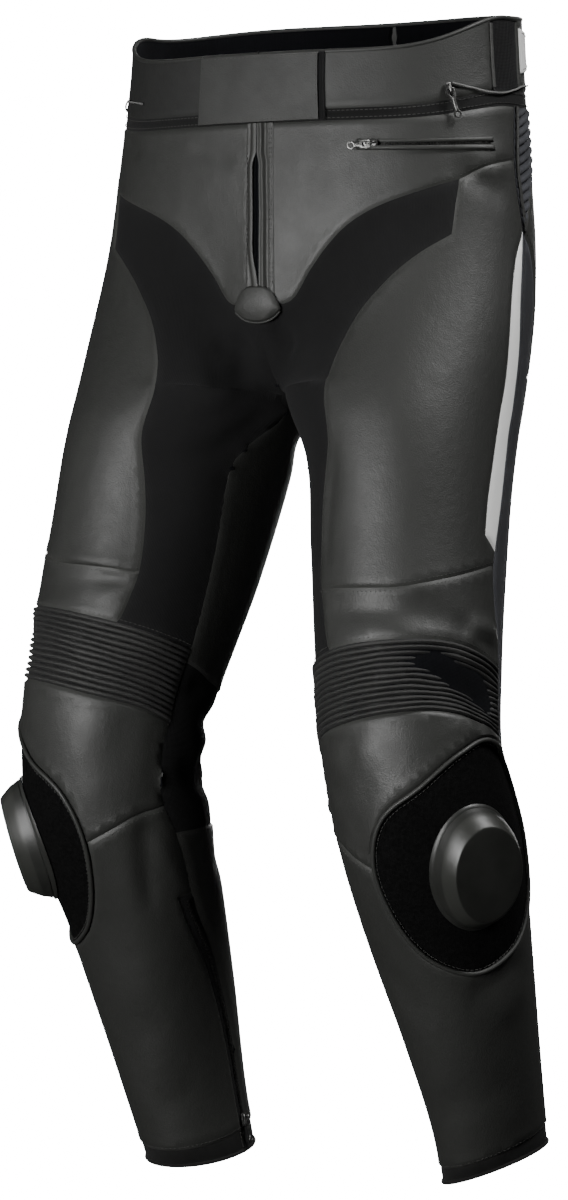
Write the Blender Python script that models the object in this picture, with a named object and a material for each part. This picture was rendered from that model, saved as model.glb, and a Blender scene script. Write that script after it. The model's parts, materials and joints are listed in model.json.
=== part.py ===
"""Motorcycle trousers, filled out as when they are worn, with legs apart and knees bent.

Metres, +Z up, the front faces -Y, the wearer's left is +X. The origin is the middle of the waist opening.

The whole garment is one form: a point of the outer face is found from its place round the garment, c, and its
depth below the waist. On each half c runs from the front middle (0) over the side (0.5) to the back middle (1).
Below the crotch it runs round the leg instead, from the inseam (0) over the leg's front (0.25), its outer side
(0.5) and its back (0.75) to the inseam again (1). Seams are drawn in c and depth, the form is cut along them,
and each piece becomes a closed wall, a seam gap away from its neighbours.
"""
import math
from collections import namedtuple

import bmesh
import bpy
import numpy as np
from mathutils import Matrix, Vector
from mathutils.geometry import delaunay_2d_cdt

# Wall thicknesses and gaps
LEATHER = 0.0020
STRETCH_CLOTH = 0.0018
BAND_CLOTH = 0.0028
TAPE_CLOTH = 0.0016
HALF_SEAM = 0.00015
LAID_ON = 0.0004

# Depths below the waist
RIM = -0.0275
BAND_LOW = 0.036
TAPE_LOW = 0.0505
CROTCH = 0.300
CUFF_TOP = 0.947
HEM = 0.964

# Spacing of the points
COLUMNS = 22
ROW_STEP = 0.026
SEAM_STEP = 0.024
CHART_WIDTH = 0.50
CLOSE = 0.0075
WELD = 1e-6

# Roundness of the rings: 2 is an ellipse, more is squarer
FRONT_ROUND = 2.35
BACK_ROUND = 2.05
LEG_ROUND = 2.08
# The rim dips at the front middle and rises at the back middle
RIM_DIP = 0.0335
RIM_RISE = 0.0155

Hip = namedtuple("Hip", "depth width front middle back")
HIPS = [
    Hip(-0.040, 0.180, -0.124, -0.003, 0.117),
    Hip(0.000, 0.182, -0.126, -0.004, 0.118),
    Hip(0.060, 0.188, -0.127, -0.008, 0.121),
    Hip(0.120, 0.194, -0.128, -0.013, 0.123),
    Hip(0.180, 0.199, -0.128, -0.019, 0.120),
    Hip(0.240, 0.203, -0.128, -0.027, 0.110),
    Hip(0.300, 0.206, -0.128, -0.036, 0.096),
]

# x and y are the leg's middle; inner, outer, front and back are half sizes; turn is outwards, in degrees;
# slope is how steeply a ring falls towards the back
Ring = namedtuple("Ring", "depth x y inner outer front back turn slope")
LEG = [
    Ring(0.150, 0.107, -0.022, 0.105, 0.098, 0.100, 0.115, 0.0, 0.00),
    Ring(0.220, 0.109, -0.040, 0.109, 0.098, 0.104, 0.113, 1.0, 0.03),
    Ring(0.300, 0.113, -0.056, 0.112, 0.092, 0.107, 0.110, 5.0, 0.12),
    Ring(0.360, 0.117, -0.067, 0.089, 0.087, 0.108, 0.110, 12.0, 0.18),
    Ring(0.440, 0.125, -0.085, 0.083, 0.083, 0.100, 0.101, 14.0, 0.21),
    Ring(0.520, 0.135, -0.104, 0.080, 0.080, 0.092, 0.092, 16.5, 0.22),
    Ring(0.600, 0.147, -0.119, 0.078, 0.077, 0.085, 0.085, 18.0, 0.12),
    Ring(0.680, 0.155, -0.102, 0.077, 0.078, 0.081, 0.082, 18.0, -0.12),
    Ring(0.760, 0.153, -0.064, 0.068, 0.069, 0.068, 0.071, 18.0, -0.30),
    Ring(0.840, 0.153, -0.027, 0.0565, 0.0575, 0.061, 0.065, 17.5, -0.32),
    Ring(0.920, 0.152, 0.009, 0.0475, 0.048, 0.054, 0.056, 16.5, -0.28),
    Ring(0.970, 0.149, 0.030, 0.0455, 0.0455, 0.049, 0.051, 16.0, -0.22),
]

# The right knee is held a little higher than the left one
Lift = namedtuple("Lift", "depth left right")
LIFTS = [
    Lift(0.15, 0.0, 0.0),
    Lift(0.25, 0.0, 0.0),
    Lift(0.30, 0.0, 0.0),
    Lift(0.45, 0.0, 0.014),
    Lift(0.54, 0.0, 0.025),
    Lift(0.60, 0.0, 0.022),
    Lift(0.68, 0.0, 0.016),
    Lift(0.78, 0.0, 0.015),
    Lift(0.88, 0.0, 0.008),
    Lift(0.97, 0.0, -0.006),
]
# How much higher the outer side of a ring is than its middle, per metre
Roll = namedtuple("Roll", "depth left right")
ROLLS = [
    Roll(0.15, 0.0, 0.0),
    Roll(0.30, 0.0, 0.0),
    Roll(0.47, 0.0, 0.10),
    Roll(0.60, 0.02, 0.0),
    Roll(0.80, 0.05, 0.0),
    Roll(0.97, 0.32, 0.0),
]

# Main folds: soft troughs (depth of the fold below 0) and ridges along a line of the form
Fold = namedtuple("Fold", "side c0 t0 c1 t1 height spread")
FOLDS = [
    Fold("both", 0.63, 0.604, 0.93, 0.598, -0.0060, 0.0085),
    Fold("both", 0.60, 0.628, 0.90, 0.634, -0.0075, 0.0090),
    Fold("both", 0.65, 0.660, 0.95, 0.655, -0.0050, 0.0085),
    Fold("left", 0.30, 0.556, 0.455, 0.566, -0.0085, 0.0120),
    Fold("right", 0.33, 0.556, 0.455, 0.568, -0.0060, 0.0120),
    Fold("both", 0.62, 0.318, 0.92, 0.330, -0.0055, 0.0110),
    Fold("both", 0.13, 0.498, 0.34, 0.504, -0.0035, 0.0080),
]

Point = namedtuple("Point", "c depth")
Side = namedtuple("Side", "name sign")
LEFT = Side("left", 1)
RIGHT = Side("right", -1)
BOTH = (LEFT, RIGHT)


def column(table, name):
    """One named column of a table."""
    return np.array([getattr(row, name) for row in table])


def smooth(table, name, depth):
    """A column of a table at any depth: a cubic through its rows with the rows' own slopes."""
    x = column(table, "depth")
    y = column(table, name)
    depth = np.clip(depth, x[0], x[-1])
    slope = np.gradient(y, x)
    row = np.clip(np.searchsorted(x, depth, side="right") - 1, 0, len(x) - 2)
    step = x[row + 1] - x[row]
    s = (depth - x[row]) / step
    value = (1 + 2 * s) * (1 - s) ** 2 * y[row] + s * (1 - s) ** 2 * step * slope[row]
    return value + s * s * (3 - 2 * s) * y[row + 1] + s * s * (s - 1) * step * slope[row + 1]


def ease(low, high, value):
    """0 below low, 1 above high, and a smooth step between them."""
    s = np.clip((value - low) / (high - low), 0, 1)
    return s * s * (3 - 2 * s)


def rounded(value, roundness):
    """A sine or cosine bent so that its ring is as round or as square as asked."""
    return np.sign(value) * np.abs(value) ** (2 / roundness)


def hip_ring(c, depth):
    """Point on the ring round the waist or the hips, on the +X half."""
    angle = np.pi * c - math.radians(12) * np.sin(2 * np.pi * c)
    sine, cosine = np.sin(angle), np.cos(angle)
    front = cosine > 0
    middle = smooth(HIPS, "middle", depth)
    reach = np.where(front, middle - smooth(HIPS, "front", depth), smooth(HIPS, "back", depth) - middle)
    x = smooth(HIPS, "width", depth) * np.where(front, rounded(sine, FRONT_ROUND), rounded(sine, BACK_ROUND))
    y = middle - reach * np.where(front, rounded(cosine, FRONT_ROUND), rounded(cosine, BACK_ROUND))
    rise = np.where(front, -RIM_DIP * (1 - sine ** 6), RIM_RISE * (1 - sine ** 4))
    z = -depth + rise * (1 - ease(-0.04, 0.13, depth))
    return x, y, z


def leg_ring(side, c, depth):
    """Point on the ring round one leg, on the +X half."""
    angle = 2 * np.pi * c
    along = rounded(np.cos(angle), LEG_ROUND)
    across = rounded(np.sin(angle), LEG_ROUND)
    local_x = -along * np.where(along > 0, smooth(LEG, "inner", depth), smooth(LEG, "outer", depth))
    local_y = -across * np.where(across > 0, smooth(LEG, "front", depth), smooth(LEG, "back", depth))
    turn = np.radians(smooth(LEG, "turn", depth))
    off_x = local_x * np.cos(turn) - local_y * np.sin(turn)
    off_y = local_x * np.sin(turn) + local_y * np.cos(turn)
    x = smooth(LEG, "x", depth) + off_x
    # the legs stay a little apart at the middle
    apart = 0.005 + 0.001 * ease(0.30, 0.36, depth)
    x = 0.5 * (x + np.sqrt(x * x + 4 * apart * apart))
    y = smooth(LEG, "y", depth) + off_y
    z = -depth + smooth(LIFTS, side.name, depth) - smooth(LEG, "slope", depth) * off_y
    return x, y, z + smooth(ROLLS, side.name, depth) * off_x


def bare_form(side, c, depth):
    """Point of the outer face without folds: the hips' ring eased into the leg's ring down to the crotch."""
    c, depth = np.broadcast_arrays(np.asarray(c, float), np.asarray(depth, float))
    hip = hip_ring(np.clip(c, 0, 1), depth)
    leg = leg_ring(side, c, depth)
    outer_share = ease(0.10, 0.34, depth)
    near_middle = np.clip(np.abs(c - 0.5) * 4 - 1, 0, 1)
    near_middle = near_middle * near_middle * (3 - 2 * near_middle)
    start = np.where(c < 0.5, 0.205, 0.13)
    s = np.clip((depth - start) / (CROTCH - start), 0, 1)
    arc = 1 - np.sqrt(np.clip(1 - s * s, 0, 1))
    share = outer_share * (1 - near_middle) + arc * near_middle
    x, y, z = (h + (l - h) * share for h, l in zip(hip, leg))
    return np.stack([side.sign * x, y, z], axis=-1)


# Seams and outlines, each through its own points of c and depth
INSEAM = [
    Point(0.000, 0.300),
    Point(0.000, 0.325),
    Point(0.022, 0.355),
    Point(0.022, 0.390),
    Point(0.012, 0.450),
    Point(0.000, 0.520),
    Point(0.003, 0.600),
    Point(0.022, 0.635),
    Point(0.022, 0.665),
    Point(0.002, 0.690),
    Point(-0.006, 0.715),
    Point(-0.005, 0.742),
    Point(-0.040, 0.804),
    Point(-0.072, 0.889),
    Point(-0.075, 0.970),
]
ZIP_TOP = 0.742
ZIP_WIDTH = 0.028
FLY_FOOT = 0.203
FLY_ZIP = 0.009
FACING_RIGHT = 0.018
FACING_LEFT = 0.028
# The arched upper edge of the half-moon tab at the fly's foot
TAB_ARCH = [(0, 0.2055), (0.018, 0.2075), (0.030, 0.2125), (0.039, 0.219), (0.042, 0.225)]
TAB_SIDE = 0.135
TAB_END = 0.147
BAND_SIDE_FRONT = 0.455
BAND_SIDE_BACK = 0.520
HIP_TIP = (0.507, 0.158)
STRIPE_FOOT = (0.469, 0.434)
KNEE_SIDE = (0.490, 0.592)


def inseam(depth):
    """Place round the leg of the inseam, which swings forward under the crotch and back along the calf's zip."""
    return float(smooth(INSEAM, "c", depth))


Line = namedtuple("Line", "name kind points")
SEAM, OUTLINE, RIB, BORDER = "seam", "outline", "rib", "border"


def seam_lines():
    """Every seam of one half, and the outlines of what is laid on it."""
    knee_top_in, knee_low_in = 0.543, 0.605
    return [
        Line("band_low", SEAM, [(0, BAND_LOW), (1, BAND_LOW)]),
        Line("tape_low", SEAM, [(0, TAPE_LOW), (1, TAPE_LOW)]),
        Line("band_side_front", SEAM, [(BAND_SIDE_FRONT, RIM), (BAND_SIDE_FRONT, BAND_LOW)]),
        Line("band_side_back", SEAM, [(BAND_SIDE_BACK, RIM), (BAND_SIDE_BACK, BAND_LOW)]),
        Line("fly_zip", SEAM, [(FLY_ZIP, TAPE_LOW), (FLY_ZIP, FLY_FOOT)]),
        Line("fly_zip_foot", SEAM, [(FLY_ZIP, FLY_FOOT), (0, FLY_FOOT)]),
        Line("side_top", SEAM, [(0.500, TAPE_LOW), (0.494, 0.097), (0.497, 0.125), HIP_TIP]),
        Line("hip_back", SEAM, [(0.578, TAPE_LOW), (0.583, 0.090), (0.545, 0.121), (0.521, 0.144), HIP_TIP]),
        Line("stretch_top", SEAM, [(0, 0.222), (0.064, 0.2185), (0.111, 0.192), (0.154, 0.169), (0.192, 0.153),
                                   (0.244, 0.139), (0.310, 0.127), (0.378, 0.116)]),
        Line("thigh_top", SEAM, [(0.378, 0.116), (0.430, 0.104), (0.494, 0.097)]),
        Line("stretch_end", SEAM, [(0.378, 0.116), (0.368, 0.140), (0.361, 0.164)]),
        Line("stretch_low", SEAM, [(0.361, 0.164), (0.312, 0.180), (0.269, 0.201), (0.232, 0.231), (0.210, 0.265),
                                   (0.196, 0.300), (0.175, 0.345), (0.145, 0.392), (0.128, 0.442), (0.118, 0.482),
                                   (0.121, 0.512), (0.128, 0.534)]),
        Line("stripe_front", SEAM, [HIP_TIP, (0.489, 0.185), (0.482, 0.220), (0.484, 0.285), (0.471, 0.323),
                                    (0.457, 0.355), (0.445, 0.390), (0.440, 0.424)]),
        Line("stripe_back", SEAM, [HIP_TIP, (0.504, 0.192), (0.504, 0.223), (0.512, 0.270), (0.509, 0.306),
                                   (0.499, 0.332), (0.490, 0.365), (0.481, 0.400), STRIPE_FOOT]),
        Line("stripe_foot", SEAM, [(0.440, 0.424), STRIPE_FOOT]),
        Line("side_thigh", SEAM, [STRIPE_FOOT, (0.465, 0.452), (0.472, 0.482), (0.490, 0.513), (0.492, 0.553),
                                  KNEE_SIDE]),
        Line("thigh_low", SEAM, [(0.118, 0.484), (0.150, 0.485), (0.214, 0.486), (0.278, 0.483), (0.362, 0.469),
                                 (0.464, 0.446)]),
        Line("outer_back", SEAM, [HIP_TIP, (0.545, 0.185), (0.575, 0.235), (0.588, 0.310), (0.590, 0.400),
                                  (0.587, 0.500), (0.580, 0.570), (0.571, 0.625), (0.563, 0.668)]),
        Line("side_low", SEAM, [KNEE_SIDE, (0.522, 0.612), (0.555, 0.645), (0.568, 0.690), (0.556, 0.740),
                                (0.530, 0.790), (0.512, 0.860), (0.508, CUFF_TOP)]),
        Line("seat_low", SEAM, [(0.583, 0.275), (0.680, 0.293), (0.800, 0.300), (0.920, 0.290), (1.0, 0.278)]),
        Line("knee_top", SEAM, [(inseam(knee_top_in), knee_top_in), (0.080, 0.537), (0.200, 0.530), (0.340, 0.522),
                                (0.420, 0.524), (0.491, 0.531)]),
        Line("knee_low", SEAM, [(inseam(knee_low_in), knee_low_in), (0.060, 0.597), (0.164, 0.589), (0.250, 0.582),
                                (0.335, 0.577), (0.410, 0.579), KNEE_SIDE]),
        Line("knee_back_top", SEAM, [(0.581, 0.560), (0.750, 0.572), (0.900, 0.567), (1 + inseam(0.556), 0.556)]),
        Line("knee_back_low", SEAM, [(0.566, 0.705), (0.750, 0.698), (0.900, 0.693), (1 + inseam(0.690), 0.690)]),
        Line("drop", SEAM, drop(1.0, 42)),
        Line("knee_in", SEAM, [(inseam(0.668), 0.668), (0.080, 0.674), (0.130, 0.683), DROP[DROP_INNER]]),
        Line("knee_out", SEAM, [DROP[0], (0.568, 0.690)]),
        Line("zip_edge", SEAM, zip_edge()),
        Line("zip_top", SEAM, [(inseam(ZIP_TOP), ZIP_TOP), (inseam(ZIP_TOP) + ZIP_WIDTH, ZIP_TOP)]),
        Line("cuff_top", SEAM, [(inseam(CUFF_TOP), CUFF_TOP), (0.25, CUFF_TOP + 0.003), (0.6, CUFF_TOP - 0.001),
                                (1 + inseam(CUFF_TOP), CUFF_TOP)]),
        Line("tab_side", OUTLINE, [(TAB_SIDE, RIM), (TAB_SIDE, TAPE_LOW)]),
        Line("tab_end", OUTLINE, [(TAB_END, RIM), (TAB_END, TAPE_LOW)]),
        Line("facing_right", OUTLINE, [(FACING_RIGHT, TAPE_LOW), (FACING_RIGHT, TAB_ARCH[1][1])]),
        Line("facing_left", OUTLINE, [(FACING_LEFT, TAPE_LOW), (FACING_LEFT, TAB_ARCH[2][1])]),
        Line("tab_arch", OUTLINE, TAB_ARCH),
        Line("tab_foot", OUTLINE, [TAB_ARCH[-1], (0.036, 0.230), (0.020, 0.234), (0, 0.235)]),
        Line("side_tab", OUTLINE, corners((0.526, -0.019), (0.602, -0.015), (0.602, 0.016), (0.526, 0.021))),
        Line("pocket", OUTLINE, corners((0.211, 0.0745), (0.440, 0.0785), (0.440, 0.0885), (0.211, 0.0845))),
        Line("puck", OUTLINE, puck_ring(1.0, 24)),
    ]


# The knee's hooked panel is a leaning drop with its tip at the outer top: places of the chart from the outer
# side downwards and round, and the row at its inner side
DROP = [(0.543, 0.678), (0.528, 0.718), (0.480, 0.750), (0.405, 0.772), (0.320, 0.778), (0.243, 0.761),
        (0.192, 0.729), (0.172, 0.690), (0.203, 0.656), (0.283, 0.632), (0.362, 0.608), (0.432, 0.594),
        (0.487, 0.606), (0.527, 0.638)]
DROP_INNER = 7
DROP_MIDDLE = (0.360, 0.690)
PUCK_MIDDLE = (0.362, 0.6935)
PUCK_HALF = (0.090, 0.047)
PUCK_LEAN = -0.35


def drop(scale, count):
    """The hooked panel's closed outline through its places, or a smaller one inside it."""
    ring = []
    for k in range(count + 1):
        place = k % count * len(DROP) / count
        row = int(place)
        s = place - row
        before, here, after, beyond = (np.array(DROP[(row + step) % len(DROP)]) for step in (-1, 0, 1, 2))
        bend = 2 * before - 5 * here + 4 * after - beyond
        twist = 3 * here - before - 3 * after + beyond
        point = here + 0.5 * s * (after - before + s * (bend + s * twist))
        ring.append(tuple(DROP_MIDDLE + (point - DROP_MIDDLE) * scale))
    return ring


def puck_ring(scale, count):
    """A ring of the puck's outline or of a smaller one inside it."""
    ring = []
    for k in range(count + 1):
        angle = 2 * math.pi * k / count
        down = PUCK_HALF[1] * scale * math.sin(angle)
        ring.append((PUCK_MIDDLE[0] + PUCK_HALF[0] * scale * math.cos(angle) + PUCK_LEAN * down,
                     PUCK_MIDDLE[1] + down))
    return ring


def corners(*points):
    """A closed outline with straight sides: every point twice, so that it isn't rounded."""
    return [point for point in points for _ in range(2)] + [points[0]] * 2


def zip_edge():
    """The front edge of the calf zip's tape, a tape's width in front of the inseam."""
    depths = np.linspace(ZIP_TOP, HEM, 9)
    return [(inseam(depth) + ZIP_WIDTH, depth) for depth in depths]


# Ribs: raised lines in the outer face, with plain lines between them
KNEE_RIBS = 13
HIP_RIBS = 12
RIB_HEIGHT = 0.0022
PIPING_HEIGHT = 0.0026


def through(points, step):
    """A smooth curve through points, sampled about a step apart; a doubled point is a corner."""
    scale = np.array([CHART_WIDTH, 1.0])
    points = np.array(points, float)
    tangent = np.gradient(points, axis=0) if len(points) > 2 else np.repeat(points[1:] - points[:1], 2, axis=0)
    samples = [points[:1]]
    for k in range(len(points) - 1):
        start, end = points[k], points[k + 1]
        length = np.linalg.norm((end - start) * scale)
        if length < WELD:
            continue
        s = np.linspace(0, 1, max(1, round(length / step)) + 1)[1:, None]
        samples.append((1 + 2 * s) * (1 - s) ** 2 * start + s * (1 - s) ** 2 * tangent[k]
                       + s * s * (3 - 2 * s) * end + s * s * (s - 1) * tangent[k + 1])
    return np.concatenate(samples)


def knee_rib_lines():
    """Crests and the plain lines between them, spread between the ribbed knee panel's top and its foot."""
    lines = {line.name: through(line.points, 0.01) for line in seam_lines() if line.name in ("knee_top", "knee_low")}
    top, low = lines["knee_top"], lines["knee_low"]
    places = np.arange(0.022, 0.475, 0.0375)
    rows = []
    for k in range(1, 2 * KNEE_RIBS):
        share = k / (2 * KNEE_RIBS)
        depths = (np.interp(places, top[:, 0], top[:, 1]) * (1 - share)
                  + np.interp(places, low[:, 0], low[:, 1]) * share)
        name = "knee_crest" if k % 2 else "knee_plain"
        rows.append(Line(name, RIB, list(zip(places, depths))))
    return rows


def hip_rib_lines():
    """Slanting crests and plain lines across the ribbed hip panel, rising to the back."""
    lines = {line.name: through(line.points, 0.01) for line in seam_lines() if line.name in ("side_top", "hip_back")}
    front, back = lines["side_top"], lines["hip_back"]
    rows = []
    for k, start in enumerate(np.linspace(0.060, 0.146, 2 * HIP_RIBS - 1)):
        edge = np.interp(start, front[:, 1], front[:, 0])
        width = np.interp(start, back[:, 1], back[:, 0]) - edge
        points = [(edge + width * share, start - 0.10 * width * (share - 0.14)) for share in (0.14, 0.50, 0.86)]
        rows.append(Line("hip_crest" if k % 2 == 0 else "hip_plain", RIB, points))
    return rows


def raised_rings():
    """Rings that shape the piping round the knee's drop, and the puck's dome."""
    return [
        Line("piping_crest", RIB, drop(0.965, 42)),
        Line("piping_plain", RIB, drop(0.928, 42)),
        Line("puck_shoulder", RIB, puck_ring(0.80, 24)),
        Line("puck_crown", RIB, puck_ring(0.45, 12)),
    ]


DENSE = {"drop", "puck", "piping_crest", "piping_plain", "puck_shoulder", "puck_crown", "knee_crest",
         "knee_plain", "hip_crest", "hip_plain"}


class Chart:
    """The flat chart of one half: its border, seams, outlines and spread points, cut into triangles."""

    def __init__(self):
        self.lines = [(line.name, line.kind, self.sampled(line))
                      for line in seam_lines() + knee_rib_lines() + hip_rib_lines() + raised_rings()]
        self.join_ends()
        self.add_border()
        self.cut()

    @staticmethod
    def sampled(line):
        """The line's points at the seams' spacing."""
        if line.name in DENSE:
            return np.array(line.points, float)
        return through(line.points, SEAM_STEP)

    def join_ends(self):
        """Moves each loose end onto the seam or outline that it meets."""
        scale = np.array([CHART_WIDTH, 1.0])
        for name, kind, points in self.lines:
            if kind == RIB or np.linalg.norm(points[0] - points[-1]) < WELD:
                continue
            for end in (0, -1):
                if self.on_border(points[end]):
                    continue
                here = points[end] * scale
                best, target = CLOSE * 2, None
                for other, other_kind, track in self.lines:
                    if other == name or other_kind == RIB:
                        continue
                    track = track * scale
                    gap = np.linalg.norm(track - here, axis=1)
                    if gap.min() < 0.004 and gap.min() - 0.004 < best:
                        best, target = gap.min() - 0.004, track[gap.argmin()]
                    run = track[1:] - track[:-1]
                    share = np.clip(((here - track[:-1]) * run).sum(1) / np.maximum((run * run).sum(1), 1e-12), 0, 1)
                    foot = track[:-1] + run * share[:, None]
                    gap = np.linalg.norm(foot - here, axis=1)
                    if gap.min() < best:
                        best, target = gap.min(), foot[gap.argmin()]
                if target is not None:
                    points[end] = target / scale

    @staticmethod
    def on_border(point):
        """Whether a line's end lies on the chart's border."""
        c, depth = point
        left = inseam(depth) if depth > CROTCH else 0.0
        return min(abs(c - left), abs(c - 1 - left), abs(depth - RIM), abs(depth - HEM)) < WELD

    def add_border(self):
        """The border: the rim, the hem, the middle lines above the crotch and the inseam below it."""
        ends = [tuple(points[end]) for _, kind, points in self.lines if kind != RIB for end in (0, -1)]
        ends = [end for end in ends if self.on_border(end)]
        seat = [0.13 + (CROTCH - 0.13) * math.sin(math.radians(a)) for a in np.arange(7.5, 90.1, 7.5)]
        fork = [0.205 + (CROTCH - 0.205) * math.sin(math.radians(a)) for a in np.arange(25, 90.1, 21.6)]
        plain = list(np.arange(RIM, 0.13, ROW_STEP)) + seat + fork
        plain += [0.312, 0.326, 0.345] + list(np.arange(0.370, HEM + WELD, 0.033))
        depths = self.with_stops(plain, [depth for _, depth in ends] + [RIM, HEM, CROTCH], 0.007)
        across = list(np.linspace(0, 1, COLUMNS + 1))
        rim = self.with_stops(across, [c for c, depth in ends if abs(depth - RIM) < WELD] + [0, 1], 0.014)
        first = inseam(HEM)
        hem = self.with_stops([first + c for c in across],
                              [c for c, depth in ends if abs(depth - HEM) < WELD] + [first, 1 + first], 0.014)
        left = np.array([(inseam(d) if d > CROTCH else 0.0, d) for d in depths])
        self.lines.append(("left", BORDER, left))
        self.lines.append(("right", BORDER, left + (1, 0)))
        self.lines.append(("rim", BORDER, np.array([(c, RIM) for c in rim])))
        self.lines.append(("hem", BORDER, np.array([(c, HEM) for c in hem])))

    @staticmethod
    def with_stops(plain, stops, apart):
        """Evenly spread values, with those too close to a wanted one left out for it."""
        stops = sorted(set(round(stop, 9) for stop in stops))
        stops = [stop for k, stop in enumerate(stops) if k == 0 or stop - stops[k - 1] > 1e-7]
        low, high = stops[0], stops[-1]
        kept = [value for value in plain if low < value < high and min(abs(value - stop) for stop in stops) > apart]
        kept.sort()
        even = []
        for value in kept:
            if not even or value - even[-1] > apart:
                even.append(value)
        return sorted(even + stops)

    def spread_points(self):
        """Points between the lines: staggered rows, closer rows at the crotch, and the folds' own points."""
        spots = []
        rows = np.concatenate([np.arange(RIM + ROW_STEP, HEM, ROW_STEP)])
        for k, depth in enumerate(rows):
            left = inseam(depth) if depth > CROTCH else 0.0
            for column_number in range(COLUMNS + 1):
                c = left + (column_number + 0.5 * (k % 2)) / COLUMNS
                near = min(c, 1 - c) < 0.19
                if near and (0.205 if c < 0.5 else 0.14) < depth < 0.305:
                    continue
                spots.append((c, depth))
        for angle in np.arange(22.5, 90, 7.5):
            depth = 0.13 + (CROTCH - 0.13) * math.sin(math.radians(angle))
            stagger = 0.022 * (round(angle / 7.5) % 2)
            spots += [(c + stagger, depth) for c in (0.80, 0.845, 0.89, 0.935)]
        for angle in np.arange(20, 90, 17.5):
            depth = 0.205 + (CROTCH - 0.205) * math.sin(math.radians(angle))
            spots += [(c, depth) for c in (0.045, 0.09, 0.135)]
        for fold in FOLDS:
            steps = max(2, round(abs(fold.c1 - fold.c0) * CHART_WIDTH / 0.018))
            for share in np.linspace(0, 1, steps + 1):
                c = fold.c0 + (fold.c1 - fold.c0) * share
                depth = fold.t0 + (fold.t1 - fold.t0) * share
                spots += [(c, depth), (c, depth - 1.5 * fold.spread), (c, depth + 1.5 * fold.spread)]
        return spots

    def cut(self):
        """Constrained triangles through all the lines and the points between them."""
        scale = np.array([CHART_WIDTH, 1.0])
        coords, edges, edge_names = [], [], []
        found = {}

        def number_of(point):
            key = (round(point[0] * CHART_WIDTH, 7), round(point[1], 7))
            if key not in found:
                found[key] = len(coords)
                coords.append((float(point[0]), float(point[1])))
            return found[key]

        for name, kind, points in self.lines:
            numbers = [number_of(point) for point in points]
            for a, b in zip(numbers[:-1], numbers[1:]):
                if a != b:
                    edges.append((a, b))
                    edge_names.append(name)
        starts = np.array([coords[a] for a, _ in edges]) * scale
        runs = np.array([coords[b] for _, b in edges]) * scale - starts
        lengths = np.maximum((runs * runs).sum(1), 1e-12)
        taken = []
        for spot in self.spread_points():
            here = np.array(spot) * scale
            share = np.clip(((here - starts) * runs).sum(1) / lengths, 0, 1)
            if np.linalg.norm(starts + runs * share[:, None] - here, axis=1).min() < CLOSE:
                continue
            if taken and np.linalg.norm(np.array(taken) - here, axis=1).min() < CLOSE:
                continue
            taken.append(here)
            number_of(spot)
        result = delaunay_2d_cdt([Vector((c * CHART_WIDTH, d)) for c, d in coords], edges, [], 0, 2e-5)
        flat, cut_edges, faces, from_points, from_edges = result[:5]
        self.place = np.array([coords[origin[0]] if origin else (v.x / CHART_WIDTH, v.y)
                               for v, origin in zip(flat, from_points)])
        self.triangles = np.array([tuple(face) for face in faces])
        self.names = {}
        for (a, b), origins in zip(cut_edges, from_edges):
            for origin in origins:
                self.names.setdefault((min(a, b), max(a, b)), set()).add(edge_names[origin])
        self.neighbours = {}
        for number, triangle in enumerate(self.triangles):
            for a, b in zip(triangle, np.roll(triangle, -1)):
                self.neighbours.setdefault((min(a, b), max(a, b)), []).append(number)
        where = {point: number for number, origin in enumerate(from_points) for point in origin}
        left = next(points for name, _, points in self.lines if name == "left")
        self.twins = [(where[number_of(point)], where[number_of(point + (1, 0))])
                      for point in left if point[1] >= CROTCH]
        self.garment = self.region((0.3, 0.3), {"left", "right", "rim", "hem"})

    def vertices_on(self, name):
        """Every point on the lines of one name."""
        return {vertex for edge, names in self.names.items() if name in names for vertex in edge}

    def region(self, seed, stops):
        """Numbers of the triangles around a seed, as far as the lines that stop it."""
        seed = np.array(seed)
        corner = self.place[self.triangles]
        scale = np.array([CHART_WIDTH, 1.0])
        a, b, c = ((corner[:, k] - seed) * scale for k in range(3))
        turns = [p[:, 0] * q[:, 1] - p[:, 1] * q[:, 0] for p, q in ((a, b), (b, c), (c, a))]
        inside = np.all(np.array(turns) >= 0, axis=0) | np.all(np.array(turns) <= 0, axis=0)
        start = int(np.flatnonzero(inside)[0])
        reached, waiting = {start}, [start]
        while waiting:
            triangle = self.triangles[waiting.pop()]
            for p, q in zip(triangle, np.roll(triangle, -1)):
                edge = (min(p, q), max(p, q))
                if self.names.get(edge, set()) & stops:
                    continue
                for other in self.neighbours[edge]:
                    if other not in reached:
                        reached.add(other)
                        waiting.append(other)
        return sorted(reached)


def fold_height(side, c, depth):
    """Height of the folds over the bare form."""
    height = np.zeros_like(c)
    for fold in FOLDS:
        if fold.side not in ("both", side.name):
            continue
        start = np.array([fold.c0 * CHART_WIDTH, fold.t0])
        run = np.array([fold.c1 * CHART_WIDTH, fold.t1]) - start
        here = np.stack([c * CHART_WIDTH, depth], axis=-1) - start
        along = here @ run / (run @ run)
        nearest = np.clip(along, 0, 1)
        away = np.linalg.norm(here - nearest[:, None] * run, axis=1)
        fade = ease(-0.18, 0.25, along) * (1 - ease(0.75, 1.18, along))
        height += fold.height * fade * np.exp(-0.5 * (away / fold.spread) ** 2)
    return height


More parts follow.
